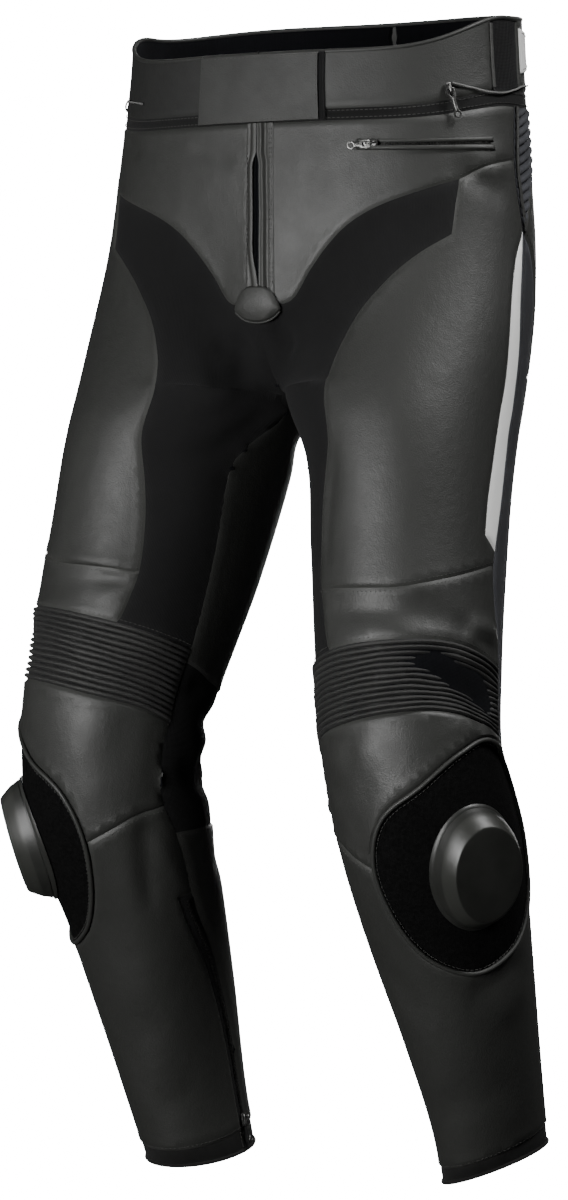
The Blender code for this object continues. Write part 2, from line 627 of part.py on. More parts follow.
class Form:
    """Points and outward normals of one half's outer face at the chart's points."""

    def __init__(self, chart, side):
        self.side = side
        self.chart = chart
        c, depth = chart.place.T
        bare = bare_form(side, c, depth)
        self.points = bare + self.normals_of(bare) * fold_height(side, c, depth)[:, None]
        self.normals = self.normals_of(self.points)

    def normals_of(self, points):
        """Area-weighted normals; both sides of the inseam share theirs, and those on the middle line stay on it."""
        triangles = self.chart.triangles[self.chart.garment]
        a, b, c = (points[triangles[:, k]] for k in range(3))
        faces = np.cross(b - a, c - a) * -self.side.sign
        normals = np.zeros_like(points)
        for k in range(3):
            np.add.at(normals, triangles[:, k], faces)
        for one, other in self.chart.twins:
            normals[one] = normals[other] = normals[one] + normals[other]
        middle = (np.abs(points[:, 0]) < 1e-4) | (self.chart.place[:, 1] <= CROTCH) & np.isin(
            self.chart.place[:, 0], (0.0, 1.0))
        normals[middle, 0] = 0.0
        return normals / np.maximum(np.linalg.norm(normals, axis=1, keepdims=True), 1e-12)


Patch = namedtuple("Patch", "form triangles")


def outline_insets(patches, keys, corners_at):
    """The small step inwards of each edge point, and the patch's open edges."""
    edges = set()
    faces = []
    for patch in patches:
        for number in patch.triangles:
            a, b, c = (keys[patch.form.side.name, int(v)] for v in patch.form.chart.triangles[number])
            face = (a, b, c) if patch.form.side.sign < 0 else (a, c, b)
            faces.append(face)
            edges.update(zip(face, face[1:] + face[:1]))
    open_edges = [(a, b) for a, b in edges if (b, a) not in edges]
    points, normals = corners_at
    inward = {}
    for a, b in open_edges:
        along = points[b] - points[a]
        along /= np.linalg.norm(along)
        for end in (a, b):
            step = np.cross(normals[end], along)
            inward.setdefault(end, []).append(step / np.linalg.norm(step))
    insets = np.zeros_like(points)
    for vertex, (one, other) in ((v, pair) for v, pair in inward.items() if len(pair) == 2):
        insets[vertex] = HALF_SEAM * (one + other) / max(1 + float(one @ other), 0.35)
    return faces, sorted(open_edges), insets


def gather(patches):
    """One numbering for the points of several patches, joined on the middle line and along nothing else."""
    keys, points, normals, places = {}, [], [], []
    joined = {}
    for patch in patches:
        form = patch.form
        for vertex in sorted({int(v) for number in patch.triangles for v in form.chart.triangles[number]}):
            c, depth = form.chart.place[vertex]
            shared = len(patches) > 1 and depth < CROTCH and c in (0.0, 1.0)
            if shared and vertex in joined:
                keys[form.side.name, vertex] = joined[vertex]
                continue
            keys[form.side.name, vertex] = len(points)
            if shared:
                joined[vertex] = len(points)
            points.append(form.points[vertex])
            normals.append(form.normals[vertex])
            places.append((vertex, c, depth))
    return keys, np.array(points), np.array(normals), places


def wall(name, patches, low, high, crest=None, crest_height=0.0):
    """A closed wall between two heights over the form, with raised crests; returns its object."""
    keys, points, normals, places = gather(patches)
    faces, open_edges, insets = outline_insets(patches, keys, (points, normals))
    edge_points = {v for edge in open_edges for v in edge}
    raised = np.zeros(len(points))
    if crest:
        for number, (vertex, _, _) in enumerate(places):
            if vertex in crest and number not in edge_points:
                raised[number] = crest_height
    outer = points + insets + normals * (high + raised)[:, None]
    inner = points + insets + normals * low
    inner_faces, kept = faces, list(range(len(points)))
    if crest:
        inner_faces, kept = plain_inside(open_edges, places, points, raised)
    number_inside = {vertex: len(outer) + k for k, vertex in enumerate(kept)}
    all_faces = list(faces) + [tuple(number_inside[v] for v in reversed(face)) for face in inner_faces]
    for a, b in open_edges:
        all_faces += [(b, a, number_inside[a]), (b, number_inside[a], number_inside[b])]
    return new_object(name, np.concatenate([outer, inner[kept]]), all_faces)


def plain_inside(open_edges, places, points, raised):
    """Sparser triangles for the inside of a ribbed wall, with the same edge."""
    edge_points = sorted({v for edge in open_edges for v in edge})
    kept = list(edge_points)
    for number in range(len(points)):
        if raised[number] or number in edge_points:
            continue
        if np.linalg.norm(points[kept] - points[number], axis=1).min() > 0.6 * SEAM_STEP:
            kept.append(number)
    flat = [Vector((places[v][1] * CHART_WIDTH, places[v][2])) for v in kept]
    order = {vertex: k for k, vertex in enumerate(kept)}
    following = dict(open_edges)
    loops, left = [], set(edge_points)
    while left:
        start = min(left)
        loop, vertex = [], start
        while not loop or vertex != start:
            loop.append(vertex)
            left.discard(vertex)
            vertex = following[vertex]
        loops.append(loop)
    edges = [(order[a], order[b]) for a, b in open_edges]
    cut = delaunay_2d_cdt(flat, edges, [], 0, 1e-7)
    triangles = [tuple(cut[3][v][0] for v in face) for face in cut[2]]
    rings = [[flat[order[v]] for v in loop] for loop in loops]
    signed = edge_way(places, open_edges)
    chosen = []
    for triangle in triangles:
        middle = (flat[triangle[0]] + flat[triangle[1]] + flat[triangle[2]]) / 3
        if sum(inside(middle, ring) for ring in rings) % 2:
            a, b, c = (kept[v] for v in triangle)
            chosen.append((a, b, c) if signed > 0 else (a, c, b))
    return chosen, kept


def edge_way(places, open_edges):
    """Whether the wall's outer edge runs the chart's own way round (+1) or the other (-1)."""
    area = 0.0
    for a, b in open_edges:
        area += places[a][1] * places[b][2] - places[b][1] * places[a][2]
    return 1 if area > 0 else -1


def inside(point, ring):
    """Whether a flat point lies inside a closed ring of points."""
    crossings = 0
    for a, b in zip(ring, ring[1:] + ring[:1]):
        if (a.y > point.y) != (b.y > point.y):
            if point.x < a.x + (b.x - a.x) * (point.y - a.y) / (b.y - a.y):
                crossings += 1
    return crossings % 2 == 1


def new_object(name, points, faces):
    """An object from points and faces, shaded smooth but for its sharp edges."""
    mesh = bpy.data.meshes.new(name)
    mesh.from_pydata([tuple(point) for point in points], [], faces)
    mesh.update()
    mesh.shade_smooth()
    mesh.set_sharp_from_angle(angle=math.radians(40))
    return bpy.data.objects.new(name, mesh)


# The puck: height over its middle and shrink of its ring, from the middle out
PUCK_RINGS = [(0.0, 0.0165, 1.00), (0.45, 0.0159, 0.99), (0.80, 0.0140, 0.95), (1.0, 0.0045, 0.96)]


def puck(form):
    """The knee slider: a domed block whose foot follows the panel under it."""
    chart = form.chart
    patch = Patch(form, chart.region(PUCK_MIDDLE, {"puck"}))
    keys, points, normals, places = gather([patch])
    faces, open_edges, insets = outline_insets([patch], keys, (points, normals))
    middle, out, up, side = tangent_frame(form, *PUCK_MIDDLE)
    foot = points + insets + normals * LAID_ON
    share, height, shrink = (np.array(row) for row in zip(*PUCK_RINGS))
    tops = []
    for number, (_, c, depth) in enumerate(places):
        down = (depth - PUCK_MIDDLE[1]) / PUCK_HALF[1]
        across = (c - PUCK_MIDDLE[0] - PUCK_LEAN * (depth - PUCK_MIDDLE[1])) / PUCK_HALF[0]
        ring = min(1.0, math.hypot(down, across))
        offset = foot[number] - middle
        scale = np.interp(ring, share, shrink)
        tops.append(middle + side * (offset @ side) * scale + up * (offset @ up) * scale
                    + out * np.interp(ring, share, height))
    count = len(points)
    all_faces = list(faces) + [tuple(v + count for v in reversed(face)) for face in faces]
    for a, b in open_edges:
        all_faces += [(b, a, a + count), (b, a + count, b + count)]
    return new_object("slider_puck_" + form.side.name, np.concatenate([np.array(tops), foot]), all_faces)


def tangent_frame(form, c, depth, heading=None):
    """Point of the form, its outward direction, and two directions along it: up or a heading, and sideways."""
    here = bare_form(form.side, c, depth).reshape(3)
    near = np.argsort(np.linalg.norm((form.chart.place - (c, depth)) * (CHART_WIDTH, 1), axis=1))[:6]
    out = form.normals[near].mean(axis=0)
    out /= np.linalg.norm(out)
    if heading is None:
        along = bare_form(form.side, c, depth - 0.01).reshape(3) - here
    else:
        along = bare_form(form.side, c + heading[0], depth + heading[1]).reshape(3) - here
    along -= out * (along @ out)
    along /= np.linalg.norm(along)
    return here, out, along, np.cross(out, along)


# Zip sliders and pull tabs, in the slider's own frame: x across, y along the zip towards the pull, z outwards
BODY_SIZE = (0.0082, 0.0120, 0.0034)
ARCH_WIDTH = 0.0018
ARCH_HALF = 0.0044
ARCH_BAR = 0.0012
HINGE_OVER_BODY = 0.0012
ARCH_CLEAR = 0.0013
PULL_WIDTH = 0.0074
PULL_THICK = 0.0010
EYE_WIDTH = 0.0036
EYE_LENGTH = 0.0066
SLIDER_LIFT = 0.0006

Zip = namedtuple("Zip", "name side c depth heading pull_length on_tape")
ZIPS = [
    Zip("waist_zip", LEFT, 0.368, 0.026, (0.0035, 0.010), 0.026, 0.0),
    Zip("pocket_zip", LEFT, 0.232, 0.0800, (-0.010, 0.0006), 0.020, LAID_ON + TAPE_CLOTH),
    Zip("calf_zip_left", LEFT, -0.061, 0.940, (0.0, 0.010), 0.022, 0.0),
    Zip("calf_zip_right", RIGHT, -0.061, 0.940, (0.0, 0.010), 0.022, 0.0),
]


def zip_frame(forms, item):
    """Matrix of a slider's frame: its origin is the hinge's middle."""
    here, out, along, _ = tangent_frame(forms[item.side.name], item.c, item.depth, item.heading)
    across = np.cross(along, out)
    lift = item.on_tape + SLIDER_LIFT + BODY_SIZE[2] + HINGE_OVER_BODY
    origin = here + out * lift
    frame = Matrix(((across[0], along[0], out[0], origin[0]), (across[1], along[1], out[1], origin[1]),
                    (across[2], along[2], out[2], origin[2]), (0, 0, 0, 1)))
    return frame


def block(bm, size, middle):
    """A box added to a mesh."""
    made = bmesh.ops.create_cube(bm, size=1.0)
    bmesh.ops.scale(bm, vec=size, verts=made["verts"])
    bmesh.ops.translate(bm, vec=middle, verts=made["verts"])


def slider(name):
    """A zip's slider: a tapered body with an arch over it, in its own frame."""
    body = bpy.data.meshes.new(name)
    bm = bmesh.new()
    block(bm, BODY_SIZE, (0, 0, -HINGE_OVER_BODY - BODY_SIZE[2] / 2))
    for vertex in bm.verts:
        if vertex.co.y < 0:
            vertex.co.x *= 0.72
        if vertex.co.z > -HINGE_OVER_BODY - 0.001:
            vertex.co.x *= 0.85
    bm.to_mesh(body)
    bm.free()
    made = bpy.data.objects.new(name, body)
    arch_mesh = bpy.data.meshes.new(name + "_arch")
    bm = bmesh.new()
    top, foot = ARCH_CLEAR + ARCH_BAR, -HINGE_OVER_BODY - 0.0008
    outline = [(-ARCH_HALF, foot), (-ARCH_HALF, top - 0.0010), (-ARCH_HALF + 0.0010, top),
               (ARCH_HALF - 0.0010, top), (ARCH_HALF, top - 0.0010), (ARCH_HALF, foot),
               (ARCH_HALF - ARCH_BAR, foot), (ARCH_HALF - ARCH_BAR, ARCH_CLEAR),
               (-ARCH_HALF + ARCH_BAR, ARCH_CLEAR), (-ARCH_HALF + ARCH_BAR, foot)]
    ring = [bm.verts.new((-ARCH_WIDTH / 2, y, z)) for y, z in outline]
    face = bm.faces.new(ring)
    grown = bmesh.ops.extrude_face_region(bm, geom=[face])
    bmesh.ops.translate(bm, vec=(ARCH_WIDTH, 0, 0),
                        verts=[item for item in grown["geom"] if isinstance(item, bmesh.types.BMVert)])
    bmesh.ops.recalc_face_normals(bm, faces=bm.faces)
    bm.to_mesh(arch_mesh)
    bm.free()
    arch = bpy.data.objects.new(name + "_arch", arch_mesh)
    arch.hide_render = True
    arch.display_type = "WIRE"
    join = made.modifiers.new("arch", "BOOLEAN")
    join.operation = "UNION"
    join.object = arch
    return made, arch


def pull_tab(name, length):
    """A zip's pull tab in its slider's frame: a plate with an eye round the arch and a six-sided ring at its end."""
    mesh = bpy.data.meshes.new(name)
    bm = bmesh.new()
    half, bar = PULL_WIDTH / 2, PULL_THICK / 2
    ring_middle = length - half
    outline = [(-half, -bar), (half, -bar), (half, EYE_LENGTH + 0.0012), (half * 0.55, EYE_LENGTH + 0.0030),
               (half * 0.55, ring_middle - half * 1.05), (half, ring_middle - half * 0.5),
               (half, ring_middle + half * 0.5), (half * 0.45, ring_middle + half),
               (-half * 0.45, ring_middle + half), (-half, ring_middle + half * 0.5),
               (-half, ring_middle - half * 0.5), (-half * 0.55, ring_middle - half * 1.05),
               (-half * 0.55, EYE_LENGTH + 0.0030), (-half, EYE_LENGTH + 0.0012)]
    eye = [(-EYE_WIDTH / 2, bar), (EYE_WIDTH / 2, bar), (EYE_WIDTH / 2, EYE_LENGTH), (-EYE_WIDTH / 2, EYE_LENGTH)]
    hole = [(0.0019 * math.cos(math.radians(60 * k + 30)), ring_middle + 0.0019 * math.sin(math.radians(60 * k + 30)))
            for k in range(6)]
    edges = []
    for loop in (outline, eye, hole):
        ring = [bm.verts.new((x, y, -bar)) for x, y in loop]
        edges += [bm.edges.new((a, b)) for a, b in zip(ring, ring[1:] + ring[:1])]
    bmesh.ops.triangle_fill(bm, edges=edges, use_beauty=True)
    bmesh.ops.recalc_face_normals(bm, faces=bm.faces)
    grown = bmesh.ops.extrude_face_region(bm, geom=list(bm.faces))
    bmesh.ops.translate(bm, vec=(0, 0, PULL_THICK),
                        verts=[item for item in grown["geom"] if isinstance(item, bmesh.types.BMVert)])
    bmesh.ops.recalc_face_normals(bm, faces=bm.faces)
    bm.to_mesh(mesh)
    bm.free()
    return bpy.data.objects.new(name, mesh)


Look = namedtuple("Look", "red green blue roughness metallic")
LOOKS = {
    "leather": Look(0.060, 0.061, 0.055, 0.52, 0.0),
    "belt_leather": Look(0.046, 0.047, 0.043, 0.55, 0.0),
    "stretch": Look(0.021, 0.021, 0.022, 0.90, 0.0),
    "grey_stretch": Look(0.110, 0.110, 0.118, 0.85, 0.0),
    "hook_cloth": Look(0.006, 0.006, 0.006, 0.95, 0.0),
    "tape": Look(0.018, 0.018, 0.018, 0.85, 0.0),
    "white_leather": Look(0.800, 0.800, 0.770, 0.45, 0.0),
    "grey_cloth": Look(0.560, 0.560, 0.560, 0.80, 0.0),
    "elastic": Look(0.012, 0.012, 0.013, 0.90, 0.0),
    "puck_plastic": Look(0.070, 0.070, 0.066, 0.42, 0.0),
    "cuff_cloth": Look(0.026, 0.026, 0.025, 0.80, 0.0),
    "zip_metal": Look(0.230, 0.230, 0.220, 0.35, 0.8),
}


def material(name):
    """The named finish, made once."""
    if name in bpy.data.materials:
        return bpy.data.materials[name]
    look = LOOKS[name]
    made = bpy.data.materials.new(name)
    made.use_nodes = True
    shader = made.node_tree.nodes["Principled BSDF"]
    shader.inputs["Base Color"].default_value = (look.red, look.green, look.blue, 1)
    shader.inputs["Roughness"].default_value = look.roughness
    shader.inputs["Metallic"].default_value = look.metallic
    return made


# Pieces that each half has: a point inside, the wall's thickness and its finish
Piece = namedtuple("Piece", "name c depth thickness look")
HALF_PIECES = [
    Piece("band_front", 0.25, 0.010, BAND_CLOTH, "belt_leather"),
    Piece("band_elastic", 0.49, 0.010, BAND_CLOTH, "elastic"),
    Piece("hip_ribs", 0.54, 0.080, STRETCH_CLOTH, "grey_stretch"),
    Piece("stretch", 0.16, 0.280, STRETCH_CLOTH, "stretch"),
    Piece("thigh", 0.30, 0.300, LEATHER, "leather"),
    Piece("stripe", 0.492, 0.300, LEATHER, "white_leather"),
    Piece("outer_thigh", 0.54, 0.350, STRETCH_CLOTH, "grey_stretch"),
    Piece("seat", 0.75, 0.150, LEATHER, "leather"),
    Piece("back_thigh", 0.80, 0.450, LEATHER, "leather"),
    Piece("above_knee", 0.30, 0.510, LEATHER, "leather"),
    Piece("knee_ribs", 0.25, 0.5556, STRETCH_CLOTH, "stretch"),
    Piece("knee", 0.12, 0.630, LEATHER, "leather"),
    Piece("hook_panel", 0.42, 0.620, STRETCH_CLOTH, "hook_cloth"),
    Piece("knee_back", 0.80, 0.640, STRETCH_CLOTH, "stretch"),
    Piece("shin", 0.25, 0.850, LEATHER, "leather"),
    Piece("calf", 0.75, 0.850, LEATHER, "leather"),
    Piece("cuff", 0.50, 0.957, LEATHER, "cuff_cloth"),
]
CRESTS = {"hip_ribs": ("hip_crest", RIB_HEIGHT), "knee_ribs": ("knee_crest", RIB_HEIGHT),
          "hook_panel": ("piping_crest", PIPING_HEIGHT)}

# Pieces laid on the panels: the halves they lie on, a point inside and the lines that bound them
Laid = namedtuple("Laid", "name sides c depth thickness look stops")
LAID_PIECES = [
    Laid("belt_tab", BOTH, 0.07, 0.010, 0.0024, "belt_leather", {"tab_side", "tape_low"}),
    Laid("belt_tab_end", (LEFT,), 0.141, 0.010, 0.0030, "elastic", {"tab_side", "tab_end", "tape_low"}),
    Laid("fly_facing_right", (RIGHT,), 0.013, 0.120, 0.0014, "leather", {"facing_right", "tape_low", "tab_arch"}),
    Laid("fly_facing_left", (LEFT,), 0.020, 0.120, 0.0014, "leather",
         {"fly_zip", "facing_left", "tape_low", "tab_arch"}),
    Laid("fly_tab", BOTH, 0.012, 0.218, 0.0020, "leather", {"tab_arch", "tab_foot"}),
    Laid("side_tab_left", (LEFT,), 0.560, 0.000, 0.0016, "grey_cloth", {"side_tab"}),
    Laid("side_tab_right", (RIGHT,), 0.560, 0.000, 0.0016, "grey_cloth", {"side_tab"}),
    Laid("pocket_zip", (LEFT,), 0.300, 0.0810, TAPE_CLOTH, "tape", {"pocket"}),
]


def place(made, look, collection):
    """Gives an object its finish and puts it in a collection."""
    made.data.materials.clear()
    made.data.materials.append(material(look))
    collection.objects.link(made)
    return made


def build():
    """Makes the trousers."""
    for old in list(bpy.data.objects):
        bpy.data.objects.remove(old, do_unlink=True)
    garment = bpy.data.collections.new("motorcycle_trousers")
    helpers = bpy.data.collections.new("joined_shapes")
    bpy.context.scene.collection.children.link(garment)
    bpy.context.scene.collection.children.link(helpers)

    chart = Chart()
    forms = {side.name: Form(chart, side) for side in BOTH}
    seams = {name for name, kind, _ in chart.lines if kind in (SEAM, BORDER)}
    border = {"left", "right", "rim", "hem"}

    for side in BOTH:
        form = forms[side.name]
        for piece in HALF_PIECES:
            crest, height = CRESTS.get(piece.name, (None, 0.0))
            triangles = chart.region((piece.c, piece.depth), seams)
            raised = chart.vertices_on(crest) if crest else None
            made = wall(f"{piece.name}_{side.name}", [Patch(form, triangles)], -piece.thickness, 0.0, raised, height)
            place(made, piece.look, garment)
        tape = chart.region((inseam(0.85) + ZIP_WIDTH / 2, 0.85), border | {"zip_edge", "zip_top"})
        place(wall("calf_zip_" + side.name, [Patch(form, tape)], -TAPE_CLOTH, 0.0), "tape", garment)
        front = chart.region((0.20, 0.100), seams)
        if side is RIGHT:
            front += chart.region((FLY_ZIP / 2, 0.1), seams)
        place(wall("front_" + side.name, [Patch(form, front)], -LEATHER, 0.0), "leather", garment)
        place(puck(form), "puck_plastic", garment)

    def both_halves(c, depth, stops):
        return [Patch(forms[side.name], chart.region((c, depth), stops)) for side in BOTH]

    place(wall("band_back", both_halves(0.75, 0.010, seams), -BAND_CLOTH, 0.0), "belt_leather", garment)
    place(wall("waist_zip", both_halves(0.25, 0.044, seams), -TAPE_CLOTH, 0.0), "tape", garment)
    fly = [Patch(forms["left"], chart.region((FLY_ZIP / 2, 0.1), seams))]
    place(wall("fly_zip", fly, -TAPE_CLOTH, 0.0), "tape", garment)
    for laid in LAID_PIECES:
        patches = [Patch(forms[side.name], chart.region((laid.c, laid.depth), border | laid.stops))
                   for side in laid.sides]
        place(wall(laid.name, patches, LAID_ON, LAID_ON + laid.thickness), laid.look, garment)

    for item in ZIPS:
        frame = zip_frame(forms, item)
        body, arch = slider(item.name + "_slider")
        pull = pull_tab(item.name + "_pull", item.pull_length)
        for made, look, home in ((body, "zip_metal", garment), (arch, "zip_metal", helpers),
                                 (pull, "zip_metal", garment)):
            place(made, look, home)
            made.matrix_world = frame


build()
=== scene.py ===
"""The looks of a pair of leather motorcycle trousers, filled out as when they are worn.

Metres, +Z up, the front faces -Y and the wearer's left is +X. Every panel lies on one form, a function of two
parameters: c, the place round the garment, and the depth below the waist. On each half c runs from the front
middle (0) over the side (0.5) to the back middle (1); below the crotch it runs round the leg, from the inseam
(0) over the leg's front (0.25), its outer side (0.5) and its back (0.75) to the inseam again (1).
"""
from __future__ import annotations

import json
import logging
import math
from collections.abc import Iterable
from dataclasses import dataclass, field
from enum import Enum

import bmesh
import bpy
import numpy as np
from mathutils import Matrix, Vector
from mathutils.geometry import delaunay_2d_cdt

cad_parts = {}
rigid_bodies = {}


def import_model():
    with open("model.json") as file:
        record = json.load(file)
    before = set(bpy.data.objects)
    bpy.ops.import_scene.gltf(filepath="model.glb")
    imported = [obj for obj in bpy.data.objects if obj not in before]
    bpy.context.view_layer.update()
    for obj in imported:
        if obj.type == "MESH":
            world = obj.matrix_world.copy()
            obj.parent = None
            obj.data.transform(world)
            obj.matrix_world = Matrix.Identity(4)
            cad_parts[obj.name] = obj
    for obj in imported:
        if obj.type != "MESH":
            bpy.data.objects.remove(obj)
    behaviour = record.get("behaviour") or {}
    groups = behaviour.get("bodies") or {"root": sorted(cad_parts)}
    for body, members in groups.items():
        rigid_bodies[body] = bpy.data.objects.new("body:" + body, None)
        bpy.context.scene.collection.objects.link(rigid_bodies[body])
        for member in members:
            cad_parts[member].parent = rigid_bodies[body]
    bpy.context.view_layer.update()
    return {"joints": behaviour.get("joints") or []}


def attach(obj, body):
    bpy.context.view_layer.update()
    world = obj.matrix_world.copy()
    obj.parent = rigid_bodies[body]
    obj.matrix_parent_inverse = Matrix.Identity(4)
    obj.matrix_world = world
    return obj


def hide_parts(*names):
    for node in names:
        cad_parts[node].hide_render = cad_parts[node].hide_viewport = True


Array = np.ndarray
Place = tuple[float, float]
Colour = tuple[float, float, float]
Piece = bpy.types.Object
Material = bpy.types.Material
Socket = bpy.types.NodeSocket
LOG = logging.getLogger("trousers")

# Depths below the waist, then the chart's width and the thicknesses of the cut pieces, all in metres.
RIM = -0.0275
BAND_LOW = 0.036
TAPE_LOW = 0.0505
CROTCH = 0.300
CUFF_TOP = 0.947
CUFF_LOOK = 0.957
HEM = 0.964
CHART_WIDTH = 0.50
LEATHER = 0.0020
CLOTH = 0.0018
BAND = 0.0028
TAPE = 0.0016


class Half(Enum):
    """The two halves of the garment, by the sign of X on them."""

    LEFT = 1
    RIGHT = -1

    @property
    def word(self) -> str:
        """The half's name, as the nodes use it."""
        return self.name.lower()


class Held(Enum):
    """How a piece of cloth is held."""

    STRETCHED = "stretched"
    GATHERED = "gathered"
    LAID = "laid"


def ease(low: float, high: float, value: Array) -> Array:
    """A smooth step: 0 below low, 1 above high."""
    s = np.clip((value - low) / (high - low), 0, 1)
    return s * s * (3 - 2 * s)


def bump(away: Array, spread: float) -> Array:
    """A soft round bump: the bell curve of a distance."""
    return np.exp(-0.5 * (away / spread) ** 2)


def unit(vectors: Array) -> Array:
    """The same directions, each 1 long."""
    return vectors / np.maximum(np.linalg.norm(vectors, axis=-1, keepdims=True), 1e-12)


@dataclass(frozen=True)
class Table:
    """A short table whose columns are read at any depth, with a cubic through its rows."""

    names: tuple[str, ...]
    rows: tuple[tuple[float, ...], ...]

    def read(self, name: str, depth: Array) -> Array:
        """A column at some depths.

        Args:
            name: the column.
            depth: depths below the waist; the first column holds the rows' depths.

        Returns:
            The column's value at each depth: a cubic through the rows, with the rows' own slopes.
        """
        rows = np.array(self.rows)
        x, y = rows[:, 0], rows[:, self.names.index(name)]
        depth = np.clip(depth, x[0], x[-1])
        slope = np.gradient(y, x)
        row = np.clip(np.searchsorted(x, depth, side="right") - 1, 0, len(x) - 2)
        step = x[row + 1] - x[row]
        s = (depth - x[row]) / step
        value = (1 + 2 * s) * (1 - s) ** 2 * y[row] + s * (1 - s) ** 2 * step * slope[row]
        return value + s * s * (3 - 2 * s) * y[row + 1] + s * s * (s - 1) * step * slope[row + 1]


HIPS = Table(("depth", "width", "front", "middle", "back"), (
    (-0.040, 0.180, -0.124, -0.003, 0.117),
    (0.000, 0.182, -0.126, -0.004, 0.118),
    (0.060, 0.188, -0.127, -0.008, 0.121),
    (0.120, 0.194, -0.128, -0.013, 0.123),
    (0.180, 0.199, -0.128, -0.019, 0.120),
    (0.240, 0.203, -0.128, -0.027, 0.110),
    (0.300, 0.206, -0.128, -0.036, 0.096),
))
LEG = Table(("depth", "x", "y", "inner", "outer", "front", "back", "turn", "slope"), (
    (0.150, 0.107, -0.022, 0.105, 0.098, 0.100, 0.115, 0.0, 0.00),
    (0.220, 0.109, -0.040, 0.109, 0.098, 0.104, 0.113, 1.0, 0.03),
    (0.300, 0.113, -0.056, 0.112, 0.092, 0.107, 0.110, 5.0, 0.12),
    (0.360, 0.117, -0.067, 0.089, 0.087, 0.108, 0.110, 12.0, 0.18),
    (0.440, 0.125, -0.085, 0.083, 0.083, 0.100, 0.101, 14.0, 0.21),
    (0.520, 0.135, -0.104, 0.080, 0.080, 0.092, 0.092, 16.5, 0.22),
    (0.600, 0.147, -0.119, 0.078, 0.077, 0.085, 0.085, 18.0, 0.12),
    (0.680, 0.155, -0.102, 0.077, 0.078, 0.081, 0.082, 18.0, -0.12),
    (0.760, 0.153, -0.064, 0.068, 0.069, 0.068, 0.071, 18.0, -0.30),
    (0.840, 0.153, -0.027, 0.0565, 0.0575, 0.061, 0.065, 17.5, -0.32),
    (0.920, 0.152, 0.009, 0.0475, 0.048, 0.054, 0.056, 16.5, -0.28),
    (0.970, 0.149, 0.030, 0.0455, 0.0455, 0.049, 0.051, 16.0, -0.22),
))
LIFTS = Table(("depth", "left", "right"), (
    (0.15, 0.0, 0.0),
    (0.25, 0.0, 0.0),
    (0.30, 0.0, 0.0),
    (0.45, 0.0, 0.014),
    (0.54, 0.0, 0.025),
    (0.60, 0.0, 0.022),
    (0.68, 0.0, 0.016),
    (0.78, 0.0, 0.015),
    (0.88, 0.0, 0.008),
    (0.97, 0.0, -0.006),
))
ROLLS = Table(("depth", "left", "right"), (
    (0.15, 0.0, 0.0),
    (0.30, 0.0, 0.0),
    (0.47, 0.0, 0.10),
    (0.60, 0.02, 0.0),
    (0.80, 0.05, 0.0),
    (0.97, 0.32, 0.0),
))
INSEAM = Table(("depth", "c"), (
    (0.300, 0.000),
    (0.325, 0.000),
    (0.355, 0.022),
    (0.390, 0.022),
    (0.450, 0.012),
    (0.520, 0.000),
    (0.600, 0.003),
    (0.635, 0.022),
    (0.665, 0.022),
    (0.690, 0.002),
    (0.715, -0.006),
    (0.742, -0.005),
    (0.804, -0.040),
    (0.889, -0.072),
    (0.970, -0.075),
))


def inseam(depth: Array) -> Array:
    """Place round the leg of the inseam, and of the front middle above the crotch."""
    return np.where(np.asarray(depth) > CROTCH, INSEAM.read("c", np.asarray(depth, float)), 0.0)


def seam_c(depth: float) -> float:
    """The inseam's place round the leg at one depth, as a plain number."""
    return float(inseam(depth))


@dataclass(frozen=True)
class Closing:
    """Where the form closes over a quarter circle at the crotch, and the chart's closer rows there."""

    start: float
    rows_from: float
    step_degrees: float
    low: float
    high: float

    def rows(self) -> Array:
        """Depths that are evenly spread over the quarter circle."""
        angle = np.radians(np.arange(self.step_degrees, 90.1, self.step_degrees))
        return self.start + (CROTCH - self.start) * np.sin(angle)


CLOSING_FRONT = Closing(0.205, 0.215, 4.0, 0.0, 0.19)
CLOSING_BACK = Closing(0.13, 0.15, 2.5, 0.81, 1.0)


@dataclass(frozen=True)
class Fold:
    """A soft trough (height below 0) or ridge along a line of the form."""

    half: Half | None
    start: Place
    end: Place
    height: float
    spread: float
    bow: float = 0.0

    def over(self, half: Half, c: Array, depth: Array) -> Array:
        """Height of the fold at some places.

        Args:
            half: the half that the places are on.
            c: places round the garment.
            depth: depths below the waist.

        Returns:
            The bell curve of the distance from the fold's line, which bows sideways by a parabola and fades
            out at its two ends; nothing on the other half.
        """
        if self.half not in (None, half):
            return np.zeros_like(c)
        first = np.array([self.start[0] * CHART_WIDTH, self.start[1]])
        run = np.array([self.end[0] * CHART_WIDTH, self.end[1]]) - first
        long = run @ run
        here = np.stack([c * CHART_WIDTH, depth], axis=-1) - first
        along = here @ run / long
        nearest = np.clip(along, 0, 1)
        across = (here[..., 0] * run[1] - here[..., 1] * run[0]) / math.sqrt(long)
        across = across - self.bow * 4 * nearest * (1 - nearest)
        beyond = (along - nearest) * math.sqrt(long)
        away = np.hypot(across, beyond)
        fade = ease(-0.18, 0.25, along) * (1 - ease(0.75, 1.18, along))
        return self.height * fade * bump(away, self.spread)


